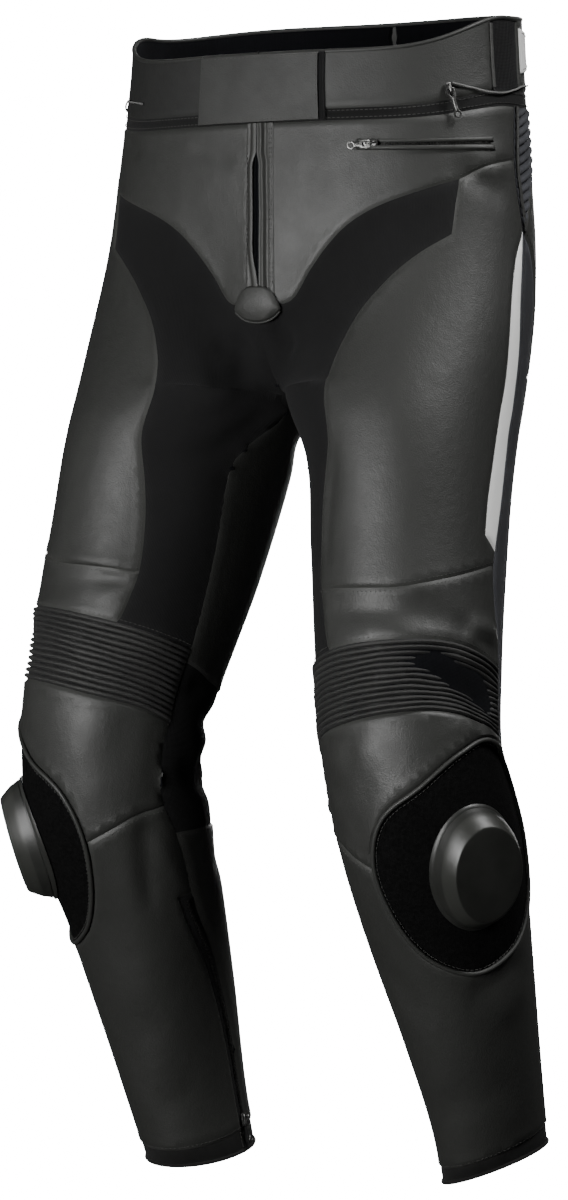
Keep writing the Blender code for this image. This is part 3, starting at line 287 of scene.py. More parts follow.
MAIN_FOLDS = (
    Fold(None, (0.63, 0.604), (0.93, 0.598), -0.0060, 0.0085),
    Fold(None, (0.60, 0.628), (0.90, 0.634), -0.0075, 0.0090),
    Fold(None, (0.65, 0.660), (0.95, 0.655), -0.0050, 0.0085),
    Fold(Half.LEFT, (0.30, 0.556), (0.455, 0.566), -0.0085, 0.0120),
    Fold(Half.RIGHT, (0.33, 0.556), (0.455, 0.568), -0.0060, 0.0120),
    Fold(None, (0.62, 0.318), (0.92, 0.330), -0.0055, 0.0110),
    Fold(None, (0.13, 0.498), (0.34, 0.504), -0.0035, 0.0080),
)
CREASES = (
    Fold(Half.RIGHT, (0.27, 0.486), (0.10, 0.497), -0.0020, 0.0042),
    Fold(Half.RIGHT, (0.25, 0.478), (0.13, 0.483), 0.0012, 0.0050),
    Fold(Half.RIGHT, (0.17, 0.513), (0.11, 0.492), 0.0016, 0.0060),
    Fold(Half.RIGHT, (0.30, 0.512), (0.16, 0.520), -0.0012, 0.0065),
    Fold(Half.RIGHT, (0.055, 0.672), (0.085, 0.745), -0.0032, 0.0065),
    Fold(Half.RIGHT, (0.125, 0.690), (0.160, 0.800), -0.0016, 0.0120, 0.012),
    Fold(Half.RIGHT, (0.150, 0.650), (0.075, 0.600), -0.0016, 0.0110, 0.008),
    Fold(Half.RIGHT, (0.190, 0.615), (0.120, 0.655), 0.0014, 0.0130),
    Fold(Half.RIGHT, (0.015, 0.612), (0.020, 0.664), -0.0026, 0.0055),
    Fold(Half.RIGHT, (0.035, 0.690), (0.012, 0.735), 0.0020, 0.0070),
    Fold(Half.RIGHT, (0.120, 0.840), (0.240, 0.880), -0.0014, 0.0140, 0.010),
    Fold(Half.RIGHT, (0.060, 0.900), (0.190, 0.915), -0.0013, 0.0100),
    Fold(Half.LEFT, (0.160, 0.507), (0.370, 0.503), -0.0030, 0.0090, 0.004),
    Fold(Half.LEFT, (0.160, 0.493), (0.330, 0.488), -0.0012, 0.0045),
    Fold(Half.LEFT, (0.170, 0.498), (0.300, 0.495), 0.0012, 0.0050),
    Fold(Half.LEFT, (0.395, 0.512), (0.470, 0.505), 0.0045, 0.0060, 0.004),
    Fold(Half.LEFT, (0.370, 0.505), (0.480, 0.520), -0.0026, 0.0050),
    Fold(Half.LEFT, (0.420, 0.585), (0.480, 0.600), 0.0030, 0.0055),
    Fold(Half.LEFT, (0.350, 0.590), (0.450, 0.583), 0.0016, 0.0045),
    Fold(Half.LEFT, (0.090, 0.606), (0.200, 0.592), -0.0018, 0.0050),
    Fold(Half.LEFT, (0.095, 0.640), (0.175, 0.606), -0.0024, 0.0070, -0.004),
    Fold(Half.LEFT, (0.110, 0.628), (0.230, 0.604), 0.0014, 0.0060),
    Fold(Half.LEFT, (0.130, 0.668), (0.200, 0.628), -0.0018, 0.0070),
    Fold(Half.LEFT, (0.080, 0.760), (0.200, 0.812), -0.0020, 0.0120, 0.008),
    Fold(Half.LEFT, (0.300, 0.800), (0.440, 0.782), -0.0022, 0.0090, 0.006),
    Fold(Half.LEFT, (0.350, 0.820), (0.460, 0.808), 0.0014, 0.0090),
    Fold(Half.LEFT, (0.120, 0.905), (0.360, 0.892), -0.0014, 0.0120, 0.010),
    Fold(Half.LEFT, (0.175, 0.360), (0.140, 0.460), -0.0022, 0.0050),
    Fold(Half.LEFT, (0.360, 0.110), (0.460, 0.135), -0.0022, 0.0070, 0.006),
    Fold(Half.LEFT, (0.380, 0.091), (0.470, 0.091), 0.0020, 0.0060),
    Fold(Half.LEFT, (0.405, 0.100), (0.470, 0.112), 0.0018, 0.0060),
    Fold(Half.LEFT, (0.020, 0.236), (0.070, 0.262), -0.0060, 0.0080),
    Fold(Half.RIGHT, (0.010, 0.262), (0.110, 0.256), -0.0040, 0.0075),
    Fold(Half.RIGHT, (0.015, 0.282), (0.125, 0.300), -0.0045, 0.0080, 0.006),
    Fold(Half.RIGHT, (0.040, 0.242), (0.085, 0.330), -0.0030, 0.0075),
    Fold(Half.RIGHT, (0.020, 0.320), (0.090, 0.372), -0.0030, 0.0090, -0.006),
    Fold(Half.RIGHT, (0.150, 0.075), (0.050, 0.092), -0.0012, 0.0070),
    Fold(Half.RIGHT, (0.200, 0.188), (0.075, 0.215), -0.0014, 0.0070),
    Fold(Half.RIGHT, (0.360, 0.060), (0.300, 0.078), -0.0025, 0.0070),
    Fold(None, (0.900, 0.560), (0.985, 0.575), -0.0030, 0.0070),
    Fold(None, (0.880, 0.640), (0.985, 0.645), -0.0040, 0.0080),
    Fold(None, (0.620, 0.740), (0.900, 0.730), -0.0022, 0.0110, 0.010),
    Fold(None, (0.640, 0.150), (0.900, 0.175), -0.0014, 0.0130, 0.012),
)


@dataclass(frozen=True)
class Form:
    """The outer face of the garment, worked out from its tables."""

    front_round: float = 2.35
    back_round: float = 2.05
    leg_round: float = 2.08
    side_gather: float = 12.0
    rim_dip: float = 0.0335
    rim_rise: float = 0.0155
    slope_step: float = 0.002
    folds: tuple[Fold, ...] = MAIN_FOLDS + CREASES

    @staticmethod
    def rounded(value: Array, roundness: float) -> Array:
        """A sine or cosine bent to a power, so that its ring is as round or as square as asked."""
        return np.sign(value) * np.abs(value) ** (2 / roundness)

    def hip_ring(self, c: Array, depth: Array) -> tuple[Array, Array, Array]:
        """Point on the ring round the waist or hips, on the +X half.

        Args:
            c: places from the front middle (0) to the back middle (1).
            depth: depths below the waist.

        Returns:
            x, y and z of a superellipse whose front and back halves have their own reach; its rim dips at
            the front middle and rises at the back middle.
        """
        angle = np.pi * c - math.radians(self.side_gather) * np.sin(2 * np.pi * c)
        sine, cosine = np.sin(angle), np.cos(angle)
        front = cosine > 0
        middle = HIPS.read("middle", depth)
        reach = np.where(front, middle - HIPS.read("front", depth), HIPS.read("back", depth) - middle)
        across = np.where(front, self.rounded(sine, self.front_round), self.rounded(sine, self.back_round))
        along = np.where(front, self.rounded(cosine, self.front_round), self.rounded(cosine, self.back_round))
        rise = np.where(front, -self.rim_dip * (1 - sine ** 6), self.rim_rise * (1 - sine ** 4))
        z = -depth + rise * (1 - ease(-0.04, 0.13, depth))
        return HIPS.read("width", depth) * across, middle - reach * along, z

    def leg_ring(self, half: Half, c: Array, depth: Array) -> tuple[Array, Array, Array]:
        """Point on the ring round one leg, on the +X half.

        Args:
            half: the half, for its lift and roll.
            c: places round the leg, from the inseam over its front.
            depth: depths below the waist.

        Returns:
            x, y and z of a superellipse turned outwards and sloped towards the back.
        """
        angle = 2 * np.pi * c
        along = self.rounded(np.cos(angle), self.leg_round)
        across = self.rounded(np.sin(angle), self.leg_round)
        local_x = -along * np.where(along > 0, LEG.read("inner", depth), LEG.read("outer", depth))
        local_y = -across * np.where(across > 0, LEG.read("front", depth), LEG.read("back", depth))
        turn = np.radians(LEG.read("turn", depth))
        off_x = local_x * np.cos(turn) - local_y * np.sin(turn)
        off_y = local_x * np.sin(turn) + local_y * np.cos(turn)
        x = LEG.read("x", depth) + off_x
        apart = 0.005 + 0.001 * ease(0.30, 0.36, depth)
        x = 0.5 * (x + np.sqrt(x * x + 4 * apart * apart))
        z = -depth + LIFTS.read(half.word, depth) - LEG.read("slope", depth) * off_y
        return x, LEG.read("y", depth) + off_y, z + ROLLS.read(half.word, depth) * off_x

    def bare(self, half: Half, c: Array, depth: Array) -> Array:
        """Points of the form without folds.

        Args:
            half: the half of the garment.
            c: places round the garment.
            depth: depths below the waist.

        Returns:
            One point a row: the hips' ring eased into the leg's ring down to the crotch, over a quarter
            circle near the middle, so that the seat and the fork close smoothly; the middle lines are drawn
            in until the two halves touch.
        """
        c, depth = np.broadcast_arrays(np.asarray(c, float), np.asarray(depth, float))
        hip = self.hip_ring(np.clip(c, 0, 1), depth)
        leg = self.leg_ring(half, c, depth)
        near_middle = np.clip(np.abs(c - 0.5) * 4 - 1, 0, 1)
        near_middle = near_middle * near_middle * (3 - 2 * near_middle)
        start = np.where(c < 0.5, CLOSING_FRONT.start, CLOSING_BACK.start)
        s = np.clip((depth - start) / (CROTCH - start), 0, 1)
        arc = 1 - np.sqrt(np.clip(1 - s * s, 0, 1))
        share = ease(0.10, 0.34, depth) * (1 - near_middle) + arc * near_middle
        x, y, z = (h + (l - h) * share for h, l in zip(hip, leg))
        fork = bump(np.minimum(np.abs(c), np.abs(1 - c)), 0.016) * (1 - ease(CROTCH, CROTCH + 0.035, depth))
        x = x - arc * fork * self.leg_ring(half, np.zeros_like(c), depth)[0]
        return np.stack([half.value * x, y, z], axis=-1)

    def height(self, half: Half, c: Array, depth: Array) -> Array:
        """Height of all the folds over the bare form.

        Args:
            half: the half of the garment.
            c: places round the garment.
            depth: depths below the waist.

        Returns:
            The folds' sum, faded out at the middle line and the inseam.
        """
        inner = np.where(depth > CROTCH, inseam(depth), 0.0)
        edge = np.minimum(np.abs(c - inner), np.abs(1 + inner - c))
        return ease(0.0, 0.03, edge) * sum((fold.over(half, c, depth) for fold in self.folds), np.zeros_like(c))

    def outward(self, half: Half, c: Array, depth: Array) -> Array:
        """Unit normals of the bare form.

        Args:
            half: the half of the garment.
            c: places round the garment.
            depth: depths below the waist.

        Returns:
            The cross product of the form's two slopes, taken over about a millimetre.
        """
        low, high = c - self.slope_step, c + self.slope_step
        if np.any(depth < CROTCH):
            low = np.where(depth < CROTCH, np.clip(low, 0, 1), low)
            high = np.where(depth < CROTCH, np.clip(high, 0, 1), high)
        round_it = self.bare(half, high, depth) - self.bare(half, low, depth)
        down = self.bare(half, c, depth + 0.001) - self.bare(half, c, depth - 0.001)
        return unit(np.cross(down, round_it) * half.value)

    def surface(self, half: Half, c: Array, depth: Array, height: Array | float = 0.0) -> Array:
        """Points at a height over the folded form; a c below 0 above the crotch is on the other half.

        Args:
            half: the half of the garment.
            c: places round the garment.
            depth: depths below the waist.
            height: height over the form, in metres.

        Returns:
            The bare form's points moved out along its normals by the folds' height and the given one.
        """
        c, depth, height = np.broadcast_arrays(np.asarray(c, float), np.asarray(depth, float), height)
        points = np.empty(c.shape + (3,))
        other = (depth < CROTCH) & (c < 0)
        for which, mirrored in ((~other, False), (other, True)):
            if not which.any():
                continue
            side = (Half.RIGHT if half is Half.LEFT else Half.LEFT) if mirrored else half
            here = np.abs(c[which]) if mirrored else c[which]
            lift = self.height(side, here, depth[which]) + height[which]
            points[which] = (self.bare(side, here, depth[which])
                             + self.outward(side, here, depth[which]) * lift[:, None])
        return points


@dataclass
class Line:
    """A line of the chart through its own points of c and depth, with the sides on which it is stitched.

    A side is the distance of the stitches from the line, to its right as it runs, in metres.
    """

    name: str
    points: list[Place]
    stitched: tuple[float, ...] = ()
    step: float = 0.0045

    def sampled(self, step: float | None = None) -> Array:
        """A smooth curve through the points.

        Args:
            step: about how far apart its points are, or nothing for the line's own step.

        Returns:
            Places on cubics that have the points' own slopes.
        """
        step = step or self.step
        scale = np.array([CHART_WIDTH, 1.0])
        points = np.array(self.points, float)
        slopes = np.gradient(points, axis=0) if len(points) > 2 else np.repeat(points[1:] - points[:1], 2, axis=0)
        runs = [points[:1]]
        for k, (start, end) in enumerate(zip(points[:-1], points[1:])):
            length = float(np.linalg.norm((end - start) * scale))
            if length < 1e-6:
                continue
            s = np.linspace(0, 1, max(1, round(length / step)) + 1)[1:, None]
            runs.append((1 + 2 * s) * (1 - s) ** 2 * start + s * (1 - s) ** 2 * slopes[k]
                        + s * s * (3 - 2 * s) * end + s * s * (s - 1) * slopes[k + 1])
        return np.concatenate(runs)


@dataclass(frozen=True)
class Oval:
    """A leaning oval of the chart."""

    middle: Place
    half: Place
    lean: float = -0.35

    def at(self, scale: float, angle: Array) -> tuple[Array, Array]:
        """Places on an ellipse scaled about its middle and sheared sideways with depth.

        Args:
            scale: the ellipse's size over the oval's.
            angle: turns round it, in radians.

        Returns:
            c and depth at each angle.
        """
        down = self.half[1] * scale * np.sin(angle)
        return self.middle[0] + self.half[0] * scale * np.cos(angle) + self.lean * down, self.middle[1] + down


@dataclass(frozen=True)
class Drop:
    """A closed outline of the chart through a few places, from its outer side downwards and round."""

    places: tuple[Place, ...]
    middle: Place

    def ring(self, scale: float, count: int) -> Array:
        """Points of the outline, or of a smaller one inside it.

        Args:
            scale: the ring's size over the outline's.
            count: points round it.

        Returns:
            Places on the cubics that pass each given place along the line between its neighbours; the last
            is the first again.
        """
        spots = np.array(self.places)
        turn = np.arange(count + 1) % count * len(spots) / count
        row = turn.astype(int)
        s = (turn - row)[:, None]
        before, here, after, beyond = (spots[(row + step) % len(spots)] for step in (-1, 0, 1, 2))
        bend = 2 * before - 5 * here + 4 * after - beyond
        twist = 3 * here - before - 3 * after + beyond
        point = here + 0.5 * s * (after - before + s * (bend + s * twist))
        return self.middle + (point - self.middle) * scale


KNEE_DROP = Drop(((0.543, 0.678), (0.528, 0.718), (0.480, 0.750), (0.405, 0.772), (0.320, 0.778), (0.243, 0.761),
                  (0.192, 0.729), (0.172, 0.690), (0.203, 0.656), (0.283, 0.632), (0.362, 0.608), (0.432, 0.594),
                  (0.487, 0.606), (0.527, 0.638)), (0.360, 0.690))
PUCK_OVAL = Oval((0.362, 0.6935), (0.090, 0.047))
HIP_TIP = (0.507, 0.158)
STRIPE_FOOT = (0.469, 0.434)
KNEE_SIDE = (0.490, 0.592)
ZIP_TOP = 0.742
ZIP_WIDTH = 0.028
FLY_FOOT = 0.203
FLY_ZIP = 0.009
KNEE_TOP_IN = 0.543
KNEE_LOW_IN = 0.605


def seam_plan() -> list[Line]:
    """Every seam of one half, drawn in c and depth.

    Returns:
        The seams, each with the distances of its rows of stitches.
    """
    drop = KNEE_DROP.ring(1.0, 84).tolist()
    depths = np.linspace(ZIP_TOP, HEM, 12)
    return [
        Line("band_low", [(0, BAND_LOW), (1, BAND_LOW)], (0.0028,)),
        Line("tape_low", [(0, TAPE_LOW), (1, TAPE_LOW)], (-0.0030,)),
        Line("band_side_front", [(0.455, RIM), (0.455, BAND_LOW)], (0.0025,)),
        Line("band_side_back", [(0.520, RIM), (0.520, BAND_LOW)], (-0.0025,)),
        Line("fly_zip", [(FLY_ZIP, TAPE_LOW), (FLY_ZIP, FLY_FOOT)]),
        Line("fly_zip_foot", [(FLY_ZIP, FLY_FOOT), (0, FLY_FOOT)]),
        Line("side_top", [(0.500, TAPE_LOW), (0.494, 0.097), (0.497, 0.125), HIP_TIP], (0.0030,)),
        Line("hip_back", [(0.578, TAPE_LOW), (0.583, 0.090), (0.545, 0.121), (0.521, 0.144), HIP_TIP],
             (-0.0030,)),
        Line("stretch_top", [(0, 0.222), (0.064, 0.2185), (0.111, 0.192), (0.154, 0.169), (0.192, 0.153),
                             (0.244, 0.139), (0.310, 0.127), (0.378, 0.116)], (-0.0028,)),
        Line("thigh_top", [(0.378, 0.116), (0.430, 0.104), (0.494, 0.097)], (-0.0028, 0.0028)),
        Line("stretch_end", [(0.378, 0.116), (0.368, 0.140), (0.361, 0.164)], (-0.0028,)),
        Line("stretch_low", [(0.361, 0.164), (0.312, 0.180), (0.269, 0.201), (0.232, 0.231), (0.210, 0.265),
                             (0.196, 0.300), (0.175, 0.345), (0.145, 0.392), (0.128, 0.442), (0.118, 0.482),
                             (0.121, 0.512), (0.128, 0.534)], (-0.0028,)),
        Line("stripe_front", [HIP_TIP, (0.489, 0.185), (0.482, 0.220), (0.484, 0.285), (0.471, 0.323),
                              (0.457, 0.355), (0.445, 0.390), (0.440, 0.424)], (0.0028,)),
        Line("stripe_back", [HIP_TIP, (0.504, 0.192), (0.504, 0.223), (0.512, 0.270), (0.509, 0.306),
                             (0.499, 0.332), (0.490, 0.365), (0.481, 0.400), STRIPE_FOOT], (-0.0028,)),
        Line("stripe_foot", [(0.440, 0.424), STRIPE_FOOT]),
        Line("side_thigh", [STRIPE_FOOT, (0.465, 0.452), (0.472, 0.482), (0.490, 0.513), (0.492, 0.553),
                            KNEE_SIDE], (0.0028,)),
        Line("thigh_low", [(0.118, 0.484), (0.150, 0.485), (0.214, 0.486), (0.278, 0.483), (0.362, 0.469),
                           (0.464, 0.446)], (-0.0028, 0.0028)),
        Line("outer_back", [HIP_TIP, (0.545, 0.185), (0.575, 0.235), (0.588, 0.310), (0.590, 0.400),
                            (0.587, 0.500), (0.580, 0.570), (0.571, 0.625), (0.563, 0.668)], (-0.0028,)),
        Line("side_low", [KNEE_SIDE, (0.522, 0.612), (0.555, 0.645), (0.568, 0.690), (0.556, 0.740),
                          (0.530, 0.790), (0.512, 0.860), (0.508, CUFF_TOP)], (-0.0028, 0.0028)),
        Line("seat_low", [(0.583, 0.275), (0.680, 0.293), (0.800, 0.300), (0.920, 0.290), (1.0, 0.278)],
             (-0.0028, 0.0028)),
        Line("knee_top", [(seam_c(KNEE_TOP_IN), KNEE_TOP_IN), (0.080, 0.537), (0.200, 0.530), (0.340, 0.522),
                          (0.420, 0.524), (0.491, 0.531)], (-0.0028,)),
        Line("knee_low", [(seam_c(KNEE_LOW_IN), KNEE_LOW_IN), (0.060, 0.597), (0.164, 0.589), (0.250, 0.582),
                          (0.335, 0.577), (0.410, 0.579), KNEE_SIDE], (0.0028,)),
        Line("knee_back_top", [(0.581, 0.560), (0.750, 0.572), (0.900, 0.567), (1 + seam_c(0.556), 0.556)],
             (-0.0028,)),
        Line("knee_back_low", [(0.566, 0.705), (0.750, 0.698), (0.900, 0.693), (1 + seam_c(0.690), 0.690)],
             (0.0028,)),
        Line("drop", drop, (0.0045,)),
        Line("knee_in", [(seam_c(0.668), 0.668), (0.080, 0.674), (0.130, 0.683), drop[42]], (-0.0028, 0.0028)),
        Line("knee_out", [drop[0], (0.568, 0.690)], (-0.0028, 0.0028)),
        Line("zip_edge", [(seam_c(depth) + ZIP_WIDTH, depth) for depth in depths], (-0.0028,)),
        Line("zip_top", [(seam_c(ZIP_TOP), ZIP_TOP), (seam_c(ZIP_TOP) + ZIP_WIDTH, ZIP_TOP)]),
        Line("cuff_top", [(seam_c(CUFF_TOP), CUFF_TOP), (0.25, CUFF_TOP + 0.003), (0.6, CUFF_TOP - 0.001),
                          (1 + seam_c(CUFF_TOP), CUFF_TOP)], (-0.0022,)),
    ]


def seam_points(name: str, step: float) -> Array:
    """Points about a step apart along the seam of a name."""
    return next(line for line in seam_plan() if line.name == name).sampled(step)


@dataclass(frozen=True)
class SeamTrack:
    """A seam's points in the chart, and the same points closer together for measuring."""

    line: Line
    points: Array
    fine: Array


@dataclass
class Chart:
    """The flat chart of one half, cut along its seams into small triangles.

    The free points are a staggered grid over c and depth. Rows of points run beside every seam, so that the
    seam's groove has its own faces.
    """

    columns: int = 104
    row_step: float = 0.0054
    beside: tuple[float, ...] = (0.0013, 0.0032)
    clear: float = 0.0024
    seam_clear: float = 0.0012
    border_step: float = 0.0045
    border_columns: int = 120
    border_clear: float = 0.0016
    rim_clear: float = 0.004
    everything: Array = field(init=False)
    place: Array = field(init=False)
    triangles: Array = field(init=False)
    labels: Array = field(init=False)
    tracks: list[SeamTrack] = field(init=False)

    def __post_init__(self) -> None:
        """Samples the seams, spreads the points and cuts the triangles."""
        self.tracks = self.joined(seam_plan())
        self.cut(self.border())

    @staticmethod
    def metric(places: Array) -> Array:
        """Chart places in metres: c times the chart's width, and the depth."""
        return places * (CHART_WIDTH, 1.0)

    @staticmethod
    def girth_share(depth: Array) -> Array:
        """The true girth at a depth over the chart's width."""
        return 1.16 - 0.58 * ease(0.60, 0.98, depth)

    def joined(self, lines: list[Line]) -> list[SeamTrack]:
        """Samples each seam and moves its loose ends onto the seam that they meet.

        Args:
            lines: the seams as drawn.

        Returns:
            Their tracks, with each loose end on its neighbour's nearest point.
        """
        points = [line.sampled() for line in lines]
        for number, track in enumerate(points):
            if np.linalg.norm(track[0] - track[-1]) < 1e-6:
                continue
            for end in (0, -1):
                if self.on_border(track[end]):
                    continue
                best, target = 0.015, None
                for other, line in enumerate(points):
                    if other == number:
                        continue
                    here = self.metric(line)
                    gap = np.linalg.norm(here - self.metric(track[end]), axis=1)
                    if gap.min() < best:
                        best, target = gap.min(), line[gap.argmin()]
                if target is not None:
                    track[end] = target
        return [SeamTrack(line, track, self.closer(track)) for line, track in zip(lines, points)]

    @staticmethod
    def closer(track: Array) -> Array:
        """A broken line with more points.

        Args:
            track: the line's points.

        Returns:
            The same line with four points for each one.
        """
        along = np.arange(len(track))
        fine = np.linspace(0, len(track) - 1, 4 * (len(track) - 1) + 1)
        return np.stack([np.interp(fine, along, track[:, 0]), np.interp(fine, along, track[:, 1])], axis=1)

    @staticmethod
    def on_border(point: Array) -> bool:
        """Whether a seam's end lies on the chart's border.

        Args:
            point: c and depth of the end.

        Returns:
            Yes for a place on the middle lines, the inseam, the rim or the hem.
        """
        c, depth = point
        left = seam_c(depth)
        return min(abs(c - left), abs(c - 1 - left), abs(depth - RIM), abs(depth - HEM)) < 1e-6

    @staticmethod
    def with_stops(plain: Iterable[float], stops: Iterable[float], apart: float) -> Array:
        """Values that pass all the wanted ones.

        Args:
            plain: evenly spread values.
            stops: the wanted ones, the lowest and highest of which are the ends.
            apart: how close a plain value may be to a wanted one.

        Returns:
            All in order, without the plain values that are too close to a wanted one or to each other.
        """
        wanted = np.unique(np.round(sorted(stops), 9))
        plain = np.array(sorted(plain))
        plain = plain[(plain > wanted[0]) & (plain < wanted[-1])]
        far = np.abs(plain[:, None] - wanted[None, :]).min(axis=1) > apart
        plain = plain[far]
        if len(plain):
            plain = plain[np.concatenate([[True], np.diff(plain) > 0.4 * apart])]
        return np.sort(np.concatenate([plain, wanted]))

    def border(self) -> list[Array]:
        """The chart's border, with a point wherever a seam ends on it.

        Returns:
            Four broken lines: both middle lines and inseams, the rim and the hem.
        """
        ends = np.array([track.points[end] for track in self.tracks for end in (0, -1)])
        ends = np.array([end for end in ends if self.on_border(end)])
        rows = np.concatenate([np.arange(RIM, HEM, self.border_step), CLOSING_BACK.rows(), CLOSING_FRONT.rows()])
        depths = self.with_stops(rows, [depth for _, depth in ends] + [RIM, HEM, CROTCH], self.border_clear)
        left = np.stack([inseam(depths), depths], axis=1)
        border = [left, left + (1, 0)]
        across = np.linspace(0, 1, self.border_columns + 1)
        for depth, first in ((RIM, 0.0), (HEM, seam_c(HEM))):
            stops = [c for c, d in ends if abs(d - depth) < 1e-6] + [first, 1 + first]
            c = self.with_stops(first + across, stops, self.rim_clear)
            border.append(np.stack([c, np.full_like(c, depth)], axis=1))
        return border

    @staticmethod
    def offset(track: Array, away: float) -> Array:
        """A line of places beside another one.

        Args:
            track: the line's places.
            away: how far to its right as it runs, in metres.

        Returns:
            The places moved square to the line in true lengths.
        """
        share = CHART_WIDTH * Chart.girth_share(track[:, 1])
        run = np.gradient(track, axis=0)
        across = unit(np.stack([-run[:, 1], run[:, 0] * share], axis=1))
        return track + np.stack([across[:, 0] / share, across[:, 1]], axis=1) * away

    def beside_seams(self) -> Array:
        """Rows of points on both sides of each seam, square to it in true lengths.

        Returns:
            One place a row, without those that another seam is too close to.
        """
        rows = []
        for track in self.tracks:
            for away in self.beside:
                for side in (-away, away):
                    places = self.offset(track.points, side)
                    gap = self.nearest(self.metric(places), self.everything)
                    rows.append(places[gap > 0.62 * away])
        return np.concatenate(rows)

    @staticmethod
    def nearest(places: Array, others: Array) -> Array:
        """Distance from each place to the nearest of some others.

        Args:
            places: one place a row.
            others: the places to measure to.

        Returns:
            One distance a place, worked out a block of rows at a time to save memory.
        """
        gaps = []
        far = (others ** 2).sum(axis=1)
        for block in np.array_split(places, max(1, len(places) // 2000)):
            square = far[None, :] - 2 * block @ others.T
            gaps.append(np.sqrt(np.maximum(square.min(axis=1) + (block ** 2).sum(axis=1), 0)))
        return np.concatenate(gaps)

    def free_points(self) -> Array:
        """The staggered grid over c and depth, with closer rows where the form closes at the crotch.

        Returns:
            One place a row.
        """
        rows = np.arange(RIM + self.row_step, HEM, self.row_step)
        numbers = np.arange(self.columns + 1)
        depth, column = np.meshgrid(rows, numbers, indexing="ij")
        stagger = 0.5 * (np.arange(len(rows)) % 2)[:, None]
        c = inseam(depth) + (column + stagger) / self.columns
        rows_from = np.where(c < 0.5, CLOSING_FRONT.rows_from, CLOSING_BACK.rows_from)
        steep = (np.minimum(c, 1 - c) < CLOSING_FRONT.high) & (depth > rows_from) & (depth < CROTCH + 0.003)
        spots = [np.stack([c[~steep], depth[~steep]], axis=1)]
        for closing in (CLOSING_BACK, CLOSING_FRONT):
            for number, row in enumerate(closing.rows()):
                if row < closing.rows_from:
                    continue
                here = np.arange(closing.low, closing.high, 1 / self.columns) + 0.5 / self.columns * (number % 2)
                spots.append(np.stack([here, np.full_like(here, row)], axis=1))
        return np.concatenate(spots)

    def cut(self, border: list[Array]) -> None:
        """Constrained triangles through the seams, the border and the points between them.

        Args:
            border: the border's broken lines.
        """
        lines = [track.points for track in self.tracks] + border
        self.everything = self.metric(np.concatenate([self.closer(line) for line in lines]))
        beside = self.beside_seams()
        free = self.free_points()
        free = free[self.nearest(self.metric(free), self.everything) > self.clear + self.seam_clear]
        free = free[self.nearest(self.metric(free), self.metric(beside)) > self.clear]
        edges: list[Array] = []
        count = 0
        for line in lines:
            first = count + np.arange(len(line) - 1)
            edges.append(np.stack([first, first + 1], axis=1))
            count += len(line)
        places = np.concatenate(lines + [beside, free])
        keys = np.round(self.metric(places) / 2e-6).astype(np.int64)
        _, first_of, same = np.unique(keys, axis=0, return_index=True, return_inverse=True)
        unique = places[first_of]
        joins = same.ravel()[np.concatenate(edges)]
        joins = joins[joins[:, 0] != joins[:, 1]]
        flat = [Vector(spot) for spot in self.metric(unique)]
        result = delaunay_2d_cdt(flat, [tuple(join) for join in joins.tolist()], [], 0, 1e-6)
        self.place = np.array([spot[:] for spot in result[0]]) / (CHART_WIDTH, 1.0)
        self.triangles = np.array([tuple(face) for face in result[2]])
        seams = np.array([sorted(edge) for edge, from_edges in zip(result[1], result[4]) if from_edges])
        self.labels = self.labelled(seams)
        LOG.info("chart: %d points, %d triangles", len(self.place), len(self.triangles))

    def labelled(self, seams: Array) -> Array:
        """The number of the patch that each triangle is in, patches being parted by the seams.

        Args:
            seams: pairs of points that a seam or the border joins.

        Returns:
            One number a triangle: the lowest triangle number of its patch, passed on from neighbour to
            neighbour until nothing changes.
        """
        a, b, c = self.triangles.T
        sides = np.concatenate([np.stack([a, b], 1), np.stack([b, c], 1), np.stack([c, a], 1)])
        sides.sort(axis=1)
        owner = np.tile(np.arange(len(self.triangles)), 3)
        total = len(self.place)
        code = sides[:, 0].astype(np.int64) * total + sides[:, 1]
        order = np.argsort(code, kind="stable")
        code, owner = code[order], owner[order]
        paired = np.flatnonzero(code[1:] == code[:-1])
        blocked = np.isin(code[paired], seams[:, 0].astype(np.int64) * total + seams[:, 1])
        paired = paired[~blocked]
        one, other = owner[paired], owner[paired + 1]
        label = np.arange(len(self.triangles))
        while True:
            low = np.minimum(label[one], label[other])
            fresh = label.copy()
            np.minimum.at(fresh, one, low)
            np.minimum.at(fresh, other, low)
            fresh = fresh[fresh]
            if np.array_equal(fresh, label):
                return label
            label = fresh

    def patch(self, c: float, depth: float) -> Array:
        """The patch around a place.

        Args:
            c: the place round the garment.
            depth: its depth below the waist.

        Returns:
            The numbers of the patch's triangles.
        """
        corners = self.place[self.triangles] - (c, depth)
        turns = [corners[:, k, 0] * corners[:, (k + 1) % 3, 1] - corners[:, (k + 1) % 3, 0] * corners[:, k, 1]
                 for k in range(3)]
        inside = np.all(np.array(turns) >= 0, axis=0) | np.all(np.array(turns) <= 0, axis=0)
        return np.flatnonzero(self.labels == self.labels[np.flatnonzero(inside)[0]])


